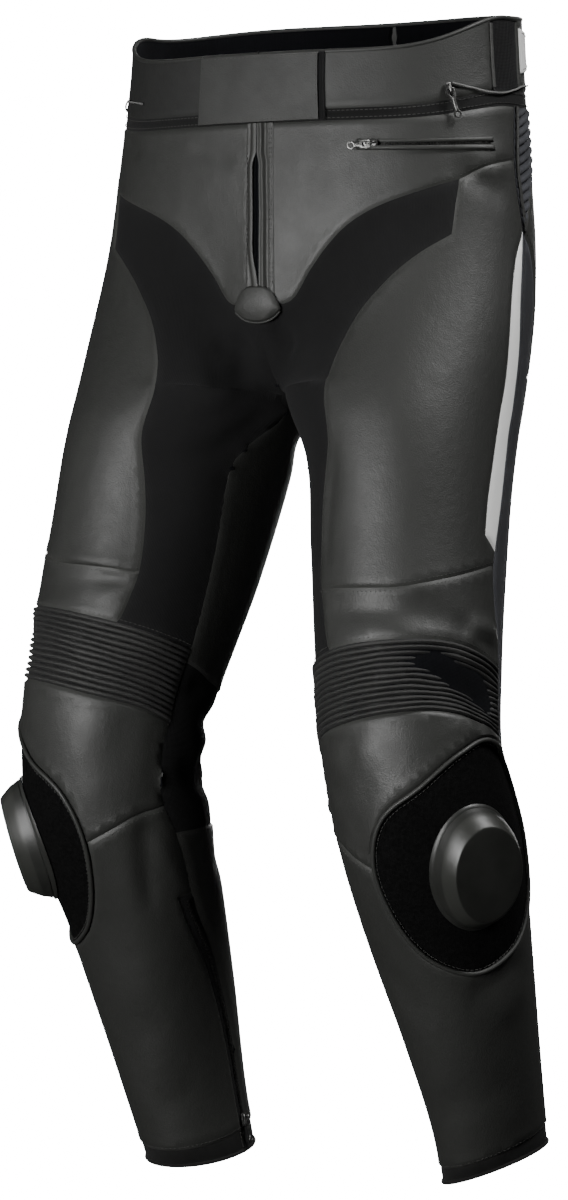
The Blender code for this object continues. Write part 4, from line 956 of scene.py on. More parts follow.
@dataclass
class Skin:
    """Points and normals of one half's outer face at the chart's points, and their distance to the seams."""

    chart: Chart
    form: Form
    half: Half
    points: Array = field(init=False)
    normals: Array = field(init=False)
    to_seam: Array = field(init=False)

    def __post_init__(self) -> None:
        """Works out the folded form once for all the panels of the half."""
        c, depth = self.chart.place.T
        bare = self.form.bare(self.half, c, depth)
        lift = self.form.height(self.half, c, depth)
        self.points = bare + self.normals_of(bare) * lift[:, None]
        self.normals = self.normals_of(self.points)
        self.to_seam = self.seam_distance()

    def normals_of(self, points: Array) -> Array:
        """Normals weighted by the triangles' areas; the inseam's two edges share theirs.

        Args:
            points: the chart's points on the form.

        Returns:
            Unit normals; on the middle line they have no sideways part, so that the two halves meet.
        """
        triangles = self.chart.triangles
        a, b, c = (points[triangles[:, k]] for k in range(3))
        faces = np.cross(b - a, c - a) * -self.half.value
        normals = np.zeros_like(points)
        for k in range(3):
            np.add.at(normals, triangles[:, k], faces)
        place = self.chart.place
        left = inseam(place[:, 1])
        low = (np.abs(place[:, 0] - left) < 1e-6) & (place[:, 1] >= CROTCH)
        high = (np.abs(place[:, 0] - 1 - left) < 1e-6) & (place[:, 1] >= CROTCH)
        one, other = np.flatnonzero(low), np.flatnonzero(high)
        one = one[np.argsort(place[one, 1])]
        other = other[np.argsort(place[other, 1])]
        both = normals[one] + normals[other]
        normals[one] = normals[other] = both
        edge = np.minimum(np.abs(place[:, 0]), np.abs(place[:, 0] - 1)) < 1e-6
        normals[edge & (place[:, 1] <= CROTCH), 0] = 0.0
        return unit(normals)

    def seam_distance(self) -> Array:
        """How far each point is from a seam.

        Returns:
            Distances to the nearest seam, in metres over the surface.
        """
        share = self.chart.girth_share(self.chart.place[:, 1])
        places = np.stack([self.chart.place[:, 0] * CHART_WIDTH * share, self.chart.place[:, 1]], axis=1)
        tracks = np.concatenate([track.fine for track in self.chart.tracks])
        depths = np.linspace(CROTCH, HEM, 500)
        legs = np.stack([inseam(depths), depths], axis=1)
        tracks = np.concatenate([tracks, legs, legs + (1, 0)])
        share = self.chart.girth_share(tracks[:, 1])
        tracks = np.stack([tracks[:, 0] * CHART_WIDTH * share, tracks[:, 1]], axis=1)
        return Chart.nearest(places, tracks)


@dataclass(frozen=True)
class Relief:
    """How a panel's face runs into its seams: how deep the groove is, how high the roll beside it."""

    groove: float = 0.0012
    groove_width: float = 0.0013
    roll: float = 0.0005
    roll_at: float = 0.0045
    roll_width: float = 0.0024
    level: float = 0.0

    def height(self, away: Array) -> Array:
        """Height over the form at some distances from the seam: two bell curves over the panel's level."""
        return (self.level - self.groove * bump(away, self.groove_width)
                + self.roll * bump(away - self.roll_at, self.roll_width))


LEATHER_EDGE = Relief()
CLOTH_EDGE = Relief(groove=0.0005, groove_width=0.0015, roll=0.0, level=-0.0008)
TAPE_EDGE = Relief(groove=0.0004, groove_width=0.001, roll=0.0, level=-0.0006)


class MeshMaker:
    """Turns arrays of points and faces into objects of the scene."""

    @staticmethod
    def make(name: str, points: Array, faces: Array | list, finishes: list[Material],
             finish_of: Array | None = None, uv: Array | None = None, edge: Array | None = None,
             sharp: float = 50.0) -> Piece:
        """Makes an object at the origin from whole arrays.

        Args:
            name: the piece's name.
            points: one point a row, in metres.
            faces: one face a row, by point number.
            finishes: the piece's materials.
            finish_of: which of them each face takes.
            uv: a place in the pattern for each point.
            edge: share painted lighter, 0 to 1: wear and painted highlight at edges, painted light and shade on ribs.
            sharp: the angle in degrees over which an edge isn't smoothed.

        Returns:
            The object, smooth shaded.
        """
        mesh = bpy.data.meshes.new(name)
        mesh.from_pydata(np.asarray(points).tolist(), [], faces if isinstance(faces, list) else faces.tolist())
        for finish in finishes:
            mesh.materials.append(finish)
        if finish_of is not None:
            mesh.polygons.foreach_set("material_index", np.asarray(finish_of, np.int32))
        if uv is not None:
            corner = np.empty(len(mesh.loops), np.int32)
            mesh.loops.foreach_get("vertex_index", corner)
            layer = mesh.uv_layers.new(name="cloth")
            layer.data.foreach_set("uv", np.asarray(uv, float)[corner].ravel())
        if edge is not None:
            mesh.attributes.new("edge", "FLOAT", "POINT").data.foreach_set("value", np.asarray(edge, float))
        mesh.validate()
        mesh.update()
        mesh.shade_smooth()
        mesh.set_sharp_from_angle(angle=math.radians(sharp))
        made = bpy.data.objects.new(name, mesh)
        bpy.context.scene.collection.objects.link(made)
        return made

    @staticmethod
    def grid(rows: int, columns: int, around: bool = False, closed: bool = False) -> Array:
        """Quads of a grid of points stored row by row.

        Args:
            rows: how many rows the grid has.
            columns: how many points each row has.
            around: whether the last column joins the first.
            closed: whether the last row joins the first.

        Returns:
            One quad a row, by point number.
        """
        numbers = np.arange(rows * columns).reshape(rows, columns)
        if closed:
            numbers = np.concatenate([numbers, numbers[:1]])
        if around:
            numbers = np.concatenate([numbers, numbers[:, :1]], axis=1)
        return np.stack([numbers[:-1, :-1], numbers[:-1, 1:], numbers[1:, 1:], numbers[1:, :-1]], -1).reshape(-1, 4)


@dataclass(frozen=True)
class Wall:
    """A closed wall of cloth: an outer face, an inner face and the rim between them."""

    name: str
    outer: Array
    inner: Array
    faces: Array
    uv: Array
    edge: Array

    def area(self) -> float:
        """Area of the cloth.

        Returns:
            The area of the inner face, which has no seam relief, in square metres.
        """
        parts = self.faces
        if parts.shape[1] == 4:
            parts = np.concatenate([parts[:, [0, 1, 2]], parts[:, [0, 2, 3]]])
        a, b, c = (self.inner[parts[:, k]] for k in range(3))
        return float(np.linalg.norm(np.cross(b - a, c - a), axis=1).sum() / 2)

    def build(self, finish: Material, lining: Material) -> Piece:
        """Makes the wall: faces outside, the same faces turned round inside, and quads between their edges.

        Args:
            finish: the outer face's material.
            lining: the inner face's material.

        Returns:
            The piece.
        """
        faces = self.faces
        sides = np.stack([faces, np.roll(faces, -1, axis=1)], -1).reshape(-1, 2)
        total = len(self.outer)
        code = sides[:, 0].astype(np.int64) * total + sides[:, 1]
        back = sides[:, 1].astype(np.int64) * total + sides[:, 0]
        rim = sides[~np.isin(code, back)]
        inside = faces[:, ::-1] + total
        rims = np.stack([rim[:, 1], rim[:, 0], rim[:, 0] + total, rim[:, 1] + total], -1)
        everything = faces.tolist() + inside.tolist() + rims.tolist()
        finish_of = np.concatenate([np.zeros(len(faces)), np.ones(len(inside)), np.zeros(len(rims))])
        return MeshMaker.make(self.name, np.concatenate([self.outer, self.inner]), everything, [finish, lining],
                              finish_of, np.concatenate([self.uv, self.uv]),
                              np.concatenate([self.edge, self.edge]))


@dataclass(frozen=True)
class PanelPlan:
    """One cut piece of a half: the node that it replaces, a place inside it and its look."""

    node: str
    c: float
    depth: float
    thickness: float
    slot: str
    relief: Relief = LEATHER_EDGE
    held: Held = Held.STRETCHED
    right_finish: str = ""


class Knots:
    """A short way to lay out a material's nodes."""

    def __init__(self, name: str) -> None:
        """Starts a material that has its shader and output.

        Args:
            name: the material's name.
        """
        self.material = bpy.data.materials.new(name)
        self.material.use_nodes = True
        self.tree = self.material.node_tree
        self.shader = self.tree.nodes["Principled BSDF"]

    def feed(self, node: bpy.types.Node, inputs: dict[str | int, object]) -> None:
        """Feeds a node.

        Args:
            node: the node.
            inputs: for each input another node's socket, or else a number, a vector or a colour.
        """
        for name, value in inputs.items():
            if isinstance(value, Socket):
                self.tree.links.new(value, node.inputs[name])
            else:
                node.inputs[name].default_value = value

    def add(self, kind: str, output: str | int, inputs: dict[str | int, object], **settings: object) -> Socket:
        """Adds a node.

        Args:
            kind: Blender's name for nodes of this kind.
            output: which output is passed on.
            inputs: what its inputs are fed with.
            settings: its own settings.

        Returns:
            The output's socket.
        """
        node = self.tree.nodes.new(kind)
        for name, value in settings.items():
            setattr(node, name, value)
        self.feed(node, inputs)
        return node.outputs[output]

    def shade(self, inputs: dict[str | int, object]) -> Material:
        """Feeds the shader's inputs and gives the finished material."""
        self.feed(self.shader, inputs)
        return self.material

    def place(self, scale: tuple[float, float, float] = (1.0, 1.0, 1.0), uv: bool = False,
              turn: float = 0.0) -> Socket:
        """Places on the piece.

        Args:
            scale: how often the pattern repeats along each direction.
            uv: whether it follows the piece's own UV map and not Object coordinates.
            turn: how far it is turned, in radians.

        Returns:
            The places' socket.
        """
        source = self.add("ShaderNodeTexCoord", "UV" if uv else "Object", {})
        inputs = {"Scale": scale, "Rotation": (0.0, 0.0, turn), "Vector": source}
        return self.add("ShaderNodeMapping", "Vector", inputs)

    def noise(self, place: Socket, scale: float, detail: float = 3.0, rough: float = 0.5) -> Socket:
        """A cloudy pattern."""
        inputs = {"Scale": scale, "Detail": detail, "Roughness": rough, "Vector": place}
        return self.add("ShaderNodeTexNoise", "Fac", inputs)

    def cells(self, place: Socket, scale: float) -> Socket:
        """A pattern of cells, as leather grain has."""
        return self.add("ShaderNodeTexVoronoi", "Distance", {"Scale": scale, "Vector": place}, feature="F1")

    def wave(self, place: Socket, scale: float, axis: str) -> Socket:
        """Even round ribs across an axis."""
        inputs = {"Scale": scale, "Distortion": 0.0, "Detail": 0.0, "Vector": place}
        return self.add("ShaderNodeTexWave", "Fac", inputs, bands_direction=axis, wave_profile="SIN")

    def ramp(self, value: Socket, low: float, high: float, start: float, end: float) -> Socket:
        """A value carried from one range to another, and held inside it."""
        inputs = {"From Min": low, "From Max": high, "To Min": start, "To Max": end, "Value": value}
        return self.add("ShaderNodeMapRange", "Result", inputs)

    def sum(self, kind: str, one: Socket, other: Socket) -> Socket:
        """Two values joined by a sum, product or the like."""
        return self.add("ShaderNodeMath", 0, {0: one, 1: other}, operation=kind)

    def blend(self, share: Socket, one: Colour, other: Colour) -> Socket:
        """A colour between two, by a share."""
        inputs = {"A": (*one, 1.0), "B": (*other, 1.0), "Factor": share}
        return self.add("ShaderNodeMix", "Result", inputs, data_type="RGBA")

    def raise_by(self, value: Socket, depth: float, strength: float, under: Socket | None = None) -> Socket:
        """A relief of some depth in metres, over another one."""
        inputs = {"Strength": strength, "Distance": depth, "Height": value}
        return self.add("ShaderNodeBump", "Normal", inputs if under is None else inputs | {"Normal": under})

    def edge(self) -> Socket:
        """The share painted lighter: wear and painted highlight at edges, painted light and shade on the ribs."""
        return self.add("ShaderNodeAttribute", "Fac", {}, attribute_name="edge", attribute_type="GEOMETRY")


@dataclass(frozen=True)
class LeatherFinish:
    """Satin cowhide: fine grain cells, soft cloudy creasing, and a lighter seam edge: wear and painted highlight."""

    name: str
    colour: Colour
    wear_and_highlight: Colour
    roughness: float = 0.57
    grain: float = 720.0
    grain_depth: float = 0.00022
    crease_depth: float = 0.0016

    def make(self) -> Material:
        """Builds the material from its nodes.

        Returns:
            The material.
        """
        knots = Knots(self.name)
        place = knots.place()
        stretched = knots.place((1.0, 1.0, 0.55))
        clouds = knots.noise(place, 9.0, 4.0, 0.55)
        fine = knots.noise(place, 60.0, 4.0, 0.6)
        tone = knots.sum("ADD", knots.ramp(clouds, 0.30, 0.70, 0.0, 0.65), knots.ramp(fine, 0.35, 0.65, 0.0, 0.35))
        # Random cloudy tone, and lighter near the seams: partly wear, partly a painted highlight.
        share = knots.sum("MAXIMUM", knots.ramp(tone, 0.0, 1.0, 0.0, 0.45),
                          knots.ramp(knots.edge(), 0.25, 1.0, 0.0, 0.85))
        colour = knots.blend(share, self.colour, self.wear_and_highlight)
        gloss = knots.ramp(tone, 0.0, 1.0, self.roughness + 0.07, self.roughness - 0.07)
        soft = knots.raise_by(knots.noise(stretched, 34.0, 3.0, 0.55), self.crease_depth, 0.55)
        small = knots.raise_by(knots.noise(place, 150.0, 3.0, 0.6), 0.0005, 0.45, soft)
        grain = knots.raise_by(knots.cells(place, self.grain), self.grain_depth, 0.5, small)
        return knots.shade({"Base Color": colour, "Roughness": gloss, "Normal": grain, "Specular IOR Level": 0.55})


@dataclass(frozen=True)
class WovenFinish:
    """Matt cloth with a fine rib or twill that follows the piece, and a faint fuzz at glancing angles."""

    name: str
    colour: Colour
    light: Colour
    rib: float = 260.0
    turn: float = 0.0
    depth: float = 0.0003
    roughness: float = 0.88
    sheen: float = 0.03
    gloss: float = 0.22
    # The colour's share where the edge attribute is 0; on ribbed cloth it paints shade into the valleys.
    valley: float = 0.75

    def make(self) -> Material:
        """Builds the material from its nodes.

        Returns:
            The material.
        """
        knots = Knots(self.name)
        pattern = knots.place(uv=True, turn=self.turn)
        place = knots.place()
        across = knots.wave(pattern, self.rib, "X")
        along = knots.wave(pattern, self.rib * 1.3, "Y")
        weave = knots.sum("MULTIPLY", across, along)
        clouds = knots.noise(place, 26.0, 4.0, 0.6)
        share = knots.sum("MULTIPLY", knots.ramp(weave, 0.0, 1.0, 0.35, 1.0), knots.ramp(clouds, 0.3, 0.7, 0.45, 1.0))
        # Darker in the ribs' valleys, lighter on their crests and near seams: painted shade, painted highlight and
        # wear.
        share = knots.sum("MULTIPLY", share, knots.ramp(knots.edge(), 0.0, 1.0, self.valley, 1.9))
        colour = knots.blend(share, self.colour, self.light)
        relief = knots.raise_by(weave, self.depth, 0.8, knots.raise_by(clouds, 0.0012, 0.4))
        return knots.shade({"Base Color": colour, "Normal": relief, "Roughness": self.roughness,
                            "Sheen Weight": self.sheen, "Sheen Roughness": 0.5, "Specular IOR Level": self.gloss})


@dataclass(frozen=True)
class LoopFinish:
    """Matt looped or piled cloth: dense small tufts."""

    name: str
    colour: Colour
    light: Colour
    tufts: float = 900.0

    def make(self) -> Material:
        """Builds the material from its nodes.

        Returns:
            The material.
        """
        knots = Knots(self.name)
        place = knots.place()
        tuft = knots.cells(place, self.tufts)
        fine = knots.noise(place, 320.0, 3.0, 0.7)
        colour = knots.blend(knots.ramp(fine, 0.35, 0.7, 0.0, 1.0), self.colour, self.light)
        relief = knots.raise_by(tuft, 0.0006, 0.8, knots.raise_by(fine, 0.0008, 0.5))
        return knots.shade({"Base Color": colour, "Normal": relief, "Roughness": 0.97, "Specular IOR Level": 0.08})


@dataclass(frozen=True)
class MouldedFinish:
    """Hard moulded plastic with a fine spark-eroded skin, light scuffs and a painted highlight on marked edges."""

    name: str
    colour: Colour
    light: Colour
    roughness: float = 0.42

    def make(self) -> Material:
        """Builds the material from its nodes.

        Returns:
            The material.
        """
        knots = Knots(self.name)
        place = knots.place()
        clouds = knots.noise(place, 30.0, 5.0, 0.65)
        skin = knots.noise(place, 1500.0, 2.0, 0.5)
        scuffs = knots.ramp(clouds, 0.35, 0.75, 0.0, 0.6)
        # Random scuffs, and a painted highlight where the edge attribute marks an edge, as on the puck's bevel.
        share = knots.sum("ADD", scuffs, knots.ramp(knots.edge(), 0.0, 1.0, 0.0, 1.4))
        return knots.shade({"Base Color": knots.blend(share, self.colour, self.light),
                            "Roughness": knots.ramp(clouds, 0.3, 0.7, self.roughness - 0.06, self.roughness + 0.08),
                            "Normal": knots.raise_by(skin, 0.00012, 0.6)})


@dataclass(frozen=True)
class MetalFinish:
    """Dark plated die-cast metal, brighter where hands and cloth have rubbed it."""

    name: str
    colour: Colour
    light: Colour
    roughness: float = 0.34

    def make(self) -> Material:
        """Builds the material from its nodes.

        Returns:
            The material.
        """
        knots = Knots(self.name)
        rub = knots.noise(knots.place(), 420.0, 4.0, 0.6)
        colour = knots.blend(knots.ramp(rub, 0.35, 0.7, 0.0, 1.0), self.colour, self.light)
        gloss = knots.ramp(rub, 0.3, 0.7, self.roughness - 0.08, self.roughness + 0.12)
        return knots.shade({"Base Color": colour, "Roughness": gloss, "Normal": knots.raise_by(rub, 0.0001, 0.4),
                            "Metallic": 0.9})


Finish = LeatherFinish | WovenFinish | LoopFinish | MouldedFinish | MetalFinish


class Wardrobe:
    """Every finish of the trousers, made once each; the slot's name is the key."""

    finishes: dict[str, Finish] = {
        "leather": LeatherFinish("cowhide", (0.0150, 0.0155, 0.0138), (0.034, 0.035, 0.032)),
        "belt_leather": LeatherFinish("belt_cowhide", (0.0125, 0.0130, 0.0115), (0.031, 0.032, 0.029), 0.60,
                                      crease_depth=0.0008),
        # A darker copy of the leather for the right half's waistband front: painted shade.
        "shaded_leather": LeatherFinish("soft_cowhide", (0.0042, 0.0044, 0.0038), (0.013, 0.0135, 0.012), 0.70),
        "white_leather": LeatherFinish("white_cowhide", (0.86, 0.86, 0.84), (0.94, 0.94, 0.92), 0.44,
                                       crease_depth=0.0006),
        "stretch": WovenFinish("stretch_twill", (0.0040, 0.0040, 0.0042), (0.0115, 0.0115, 0.0117)),
        # Near black in the ribs' valleys and lighter on their crests: painted shade and painted highlight.
        "ribbed_stretch": WovenFinish("ribbed_stretch_twill", (0.0012, 0.0012, 0.0012), (0.030, 0.030, 0.028),
                                      roughness=0.62, gloss=0.5, valley=0.0),
        # Its valley share paints shade into the hip ribs' valleys and highlight onto their crests.
        "grey_stretch": WovenFinish("grey_ribbed_stretch", (0.016, 0.0165, 0.019), (0.080, 0.082, 0.092), valley=0.3),
        "hook_cloth": LoopFinish("looped_cloth", (0.0015, 0.0015, 0.0015), (0.0052, 0.0052, 0.0052)),
        "tape": WovenFinish("zip_tape", (0.0045, 0.0045, 0.0045), (0.013, 0.013, 0.013), 420.0),
        "grey_cloth": WovenFinish("grey_tab_cloth", (0.62, 0.62, 0.61), (0.80, 0.80, 0.79), 320.0),
        "elastic": WovenFinish("ribbed_elastic", (0.0030, 0.0030, 0.0032), (0.010, 0.010, 0.0105), 190.0, 0.0, 0.0008),
        "puck_plastic": MouldedFinish("puck_nylon", (0.014, 0.0145, 0.013), (0.026, 0.027, 0.024)),
        "cuff_cloth": WovenFinish("cuff_binding", (0.0030, 0.0030, 0.0028), (0.010, 0.010, 0.0095), 300.0),
        "zip_metal": MetalFinish("plated_zip_metal", (0.075, 0.075, 0.072), (0.22, 0.22, 0.215)),
        "teeth": MetalFinish("blackened_zip_teeth", (0.030, 0.030, 0.029), (0.090, 0.090, 0.086)),
        "lining": WovenFinish("mesh_lining", (0.0012, 0.0013, 0.0020), (0.0036, 0.0040, 0.0060), 240.0, gloss=0.1),
        "thread": WovenFinish("bonded_thread", (0.040, 0.040, 0.038), (0.110, 0.110, 0.104), 900.0),
        "piping_grey": WovenFinish("piping_cloth", (0.10, 0.10, 0.098), (0.22, 0.22, 0.215), 400.0),
    }

    def __init__(self) -> None:
        """Starts with nothing made."""
        self.made: dict[str, Material] = {}

    def of(self, slot: str) -> Material:
        """The material of a slot, made when it is first asked for.

        Args:
            slot: the finish's key.

        Returns:
            The material.
        """
        if slot not in self.made:
            self.made[slot] = self.finishes[slot].make()
        return self.made[slot]


ROOT_BODY = "trousers"
# Width of the lighter band beside each seam, which is partly wear and partly a painted highlight.
EDGE_WEAR_AND_HIGHLIGHT = 0.0028


@dataclass
class Bench:
    """What every sub-assembly works with: the form, both halves' skins and the finishes."""

    form: Form
    chart: Chart
    skins: dict[Half, Skin]
    wardrobe: Wardrobe

    def panel(self, plan: PanelPlan, half: Half, also: tuple[Place, ...] = ()) -> Piece:
        """Cuts one panel of one half out of its skin and makes its wall.

        Args:
            plan: the panel.
            half: the half.
            also: places in further patches that are one cut piece with the panel's own.

        Returns:
            The piece.
        """
        name = f"{plan.node}_{half.word}"
        patches = [self.chart.patch(*place) for place in ((plan.c, plan.depth), *also)]
        wall = self.cut_wall(name + "_cloth", [(half, np.concatenate(patches))], plan)
        return self.finish(wall, plan, [name], plan.right_finish if half is Half.RIGHT else "")

    def cut_wall(self, name: str, parts: list[tuple[Half, Array]], plan: PanelPlan) -> Wall:
        """A wall from patches of one or both halves, joined at the middle line.

        Args:
            name: the piece's name.
            parts: the half and the triangle numbers of each patch.
            plan: thickness and seam relief.

        Returns:
            The wall, its outer face shaped by the distance to the seams.
        """
        outer, inner, faces, uv, edge, base = [], [], [], [], [], 0
        for half, numbers in parts:
            skin = self.skins[half]
            triangles = self.chart.triangles[numbers]
            used, flat = np.unique(triangles, return_inverse=True)
            flat = flat.reshape(triangles.shape)
            away = skin.to_seam[used]
            lift = plan.relief.height(away)
            outer.append(skin.points[used] + skin.normals[used] * lift[:, None])
            inner.append(skin.points[used] - skin.normals[used] * plan.thickness)
            uv.append(self.chart.metric(self.chart.place[used]))
            # Points near a seam are painted lighter: wear and painted highlight.
            edge.append(bump(away, EDGE_WEAR_AND_HIGHLIGHT))
            faces.append((flat if half is Half.RIGHT else flat[:, ::-1]) + base)
            base += len(used)
        outer, inner, uv, edge = (np.concatenate(part) for part in (outer, inner, uv, edge))
        faces = np.concatenate(faces)
        if len(parts) > 1:
            keys = np.round(inner / 1e-6).astype(np.int64)
            _, first, same = np.unique(keys, axis=0, return_index=True, return_inverse=True)
            outer, inner, uv, edge = outer[first], inner[first], uv[first], edge[first]
            faces = same.ravel()[faces]
        return Wall(name, outer, inner, faces, uv, edge)

    def grid_wall(self, name: str, half: Half, grid: tuple[Array, Array], height: Array, under: float,
                  wear_and_highlight: Array) -> Wall:
        """A wall over a grid of places.

        Args:
            name: the piece's name.
            half: the half that c is counted on.
            grid: the grid's places round the garment, and its depths.
            height: height of the outer face over the form at each place.
            under: height of the inner face.
            wear_and_highlight: share painted lighter: wear and painted highlight; on ribs painted light and shade.

        Returns:
            The wall.
        """
        outer, inner = (self.form.surface(half, *grid, level).reshape(-1, 3) for level in (height, under))
        faces = MeshMaker.grid(*grid[0].shape)
        uv = np.stack([grid[0] * CHART_WIDTH, grid[1]], -1).reshape(-1, 2)
        return Wall(name, outer, inner, faces[:, ::-1] if half is Half.RIGHT else faces, uv, wear_and_highlight.reshape(-1))

    def length_along(self, half: Half, places: Array) -> Array:
        """Length over the form from the start of a line to each of its places."""
        path = self.form.surface(half, places[:, 0], places[:, 1])
        return np.concatenate([[0], np.cumsum(np.linalg.norm(np.diff(path, axis=0), axis=1))])

    def finish(self, wall: Wall, plan: PanelPlan, nodes: list[str], finish: str = "") -> Piece:
        """Builds a wall, hangs it on the trousers' body and hides the CAD nodes that it stands for.

        Args:
            wall: the wall.
            plan: its slot, which gives the finish unless another one is asked for.
            nodes: the CAD nodes that it stands for.
            finish: the outer face's finish, or nothing for the slot's own.

        Returns:
            The piece.
        """
        piece = wall.build(self.wardrobe.of(finish or plan.slot), self.wardrobe.of("lining"))
        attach(piece, ROOT_BODY)
        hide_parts(*nodes)
        area = wall.area()
        return piece


@dataclass
class Panels:
    """The plain cut pieces: leather, stretch cloth, the white stripe and the tapes."""

    bench: Bench
    plans: tuple[PanelPlan, ...] = (
        # The right half's waistband front takes the darker leather: painted shade.
        PanelPlan("band_front", 0.25, 0.010, BAND, "belt_leather", right_finish="shaded_leather"),
        PanelPlan("band_elastic", 0.49, 0.010, BAND, "elastic", CLOTH_EDGE, Held.GATHERED),
        PanelPlan("stretch", 0.16, 0.280, CLOTH, "stretch", CLOTH_EDGE),
        PanelPlan("thigh", 0.30, 0.300, LEATHER, "leather"),
        PanelPlan("stripe", 0.492, 0.300, LEATHER, "white_leather"),
        PanelPlan("outer_thigh", 0.54, 0.350, CLOTH, "grey_stretch", CLOTH_EDGE),
        PanelPlan("seat", 0.75, 0.150, LEATHER, "leather"),
        PanelPlan("back_thigh", 0.80, 0.450, LEATHER, "leather"),
        PanelPlan("above_knee", 0.30, 0.510, LEATHER, "leather"),
        PanelPlan("knee", 0.12, 0.630, LEATHER, "leather", Relief(groove=0.0016, roll=0.0012, roll_at=0.0034,
                                                                  roll_width=0.0018)),
        PanelPlan("hook_panel", 0.42, 0.620, CLOTH, "hook_cloth", CLOTH_EDGE),
        PanelPlan("knee_back", 0.80, 0.640, CLOTH, "stretch", CLOTH_EDGE),
        PanelPlan("shin", 0.25, 0.850, LEATHER, "leather"),
        PanelPlan("calf", 0.75, 0.850, LEATHER, "leather"),
        PanelPlan("cuff", 0.50, CUFF_LOOK, LEATHER, "cuff_cloth", CLOTH_EDGE),
    )

    def build(self) -> None:
        """Makes each piece of both halves, and those that cross the middle."""
        fly = PanelPlan("fly_zip", FLY_ZIP / 2, 0.1, TAPE, "tape", Relief(groove=0.0, roll=0.0, level=-0.0012))
        front = PanelPlan("front", 0.20, 0.100, LEATHER, "leather")
        calf_zip = PanelPlan("calf_zip", seam_c(0.85) + ZIP_WIDTH / 2, 0.85, TAPE, "tape", TAPE_EDGE)
        zip_foot = (seam_c(CUFF_LOOK) + ZIP_WIDTH / 2, CUFF_LOOK)
        for half in Half:
            for plan in self.plans:
                self.bench.panel(plan, half)
            self.bench.panel(calf_zip, half, (zip_foot,))
            self.bench.panel(front, half, ((fly.c, fly.depth),) if half is Half.RIGHT else ())
        self.across(PanelPlan("band_back", 0.75, 0.010, BAND, "belt_leather"), Half)
        self.across(PanelPlan("waist_zip", 0.25, 0.044, TAPE, "tape", TAPE_EDGE), Half)
        self.across(fly, (Half.LEFT,))

    def across(self, plan: PanelPlan, halves: Iterable[Half]) -> None:
        """A piece at the middle line, on one half or running over to the other one."""
        parts = [(half, self.bench.chart.patch(plan.c, plan.depth)) for half in halves]
        self.bench.finish(self.bench.cut_wall(plan.node + "_cloth", parts, plan), plan, [plan.node])


def tube(path: Array, up: Array, radius: float, sides: int = 8, closed: bool = False,
         flat: float = 1.0) -> tuple[Array, list]:
    """Carries a round or flattened profile along a path.

    Args:
        path: the middle line's points.
        up: the direction of the profile's height at each point.
        radius: half the profile's width.
        sides: points round the profile.
        closed: whether the path ends where it starts.
        flat: the profile's height over its width.

    Returns:
        Points, path point by path point, and faces: quads, and a cap at each open end. Each ring is the
        path's point plus sines and cosines of the two directions square to the path.
    """
    run = np.roll(path, -1, 0) - np.roll(path, 1, 0) if closed else np.gradient(path, axis=0)
    run = unit(run)
    side = unit(np.cross(run, up))
    top = np.cross(side, run)
    angle = np.linspace(0, 2 * np.pi, sides, endpoint=False)
    ring = (side[:, None, :] * np.cos(angle)[None, :, None] + top[:, None, :] * (flat * np.sin(angle))[None, :, None])
    points = (path[:, None, :] + radius * ring).reshape(-1, 3)
    count = len(path)
    faces = MeshMaker.grid(count, sides, around=True, closed=closed).tolist()
    if closed:
        return points, faces
    first, last = list(range(sides)), list(range((count - 1) * sides, count * sides))
    return points, faces + [first[::-1], last]


def gathered(parts: list[tuple[Array, list]]) -> tuple[Array, list]:
    """Several bodies as one.

    Args:
        parts: each body's points and faces.

    Returns:
        All their points and faces, renumbered.
    """
    points, faces, base = [], [], 0
    for body_points, body_faces in parts:
        points.append(body_points)
        faces += [[number + base for number in face] for face in body_faces]
        base += len(body_points)
    return np.concatenate(points), faces


def outwards(piece: Piece) -> Piece:
    """Merges a piece's doubles and turns its closed bodies' faces outwards.

    Args:
        piece: the piece.

    Returns:
        The same piece.
    """
    bm = bmesh.new()
    bm.from_mesh(piece.data)
    bmesh.ops.remove_doubles(bm, verts=bm.verts, dist=1e-6)
    bmesh.ops.recalc_face_normals(bm, faces=bm.faces)
    bm.to_mesh(piece.data)
    bm.free()
    return piece


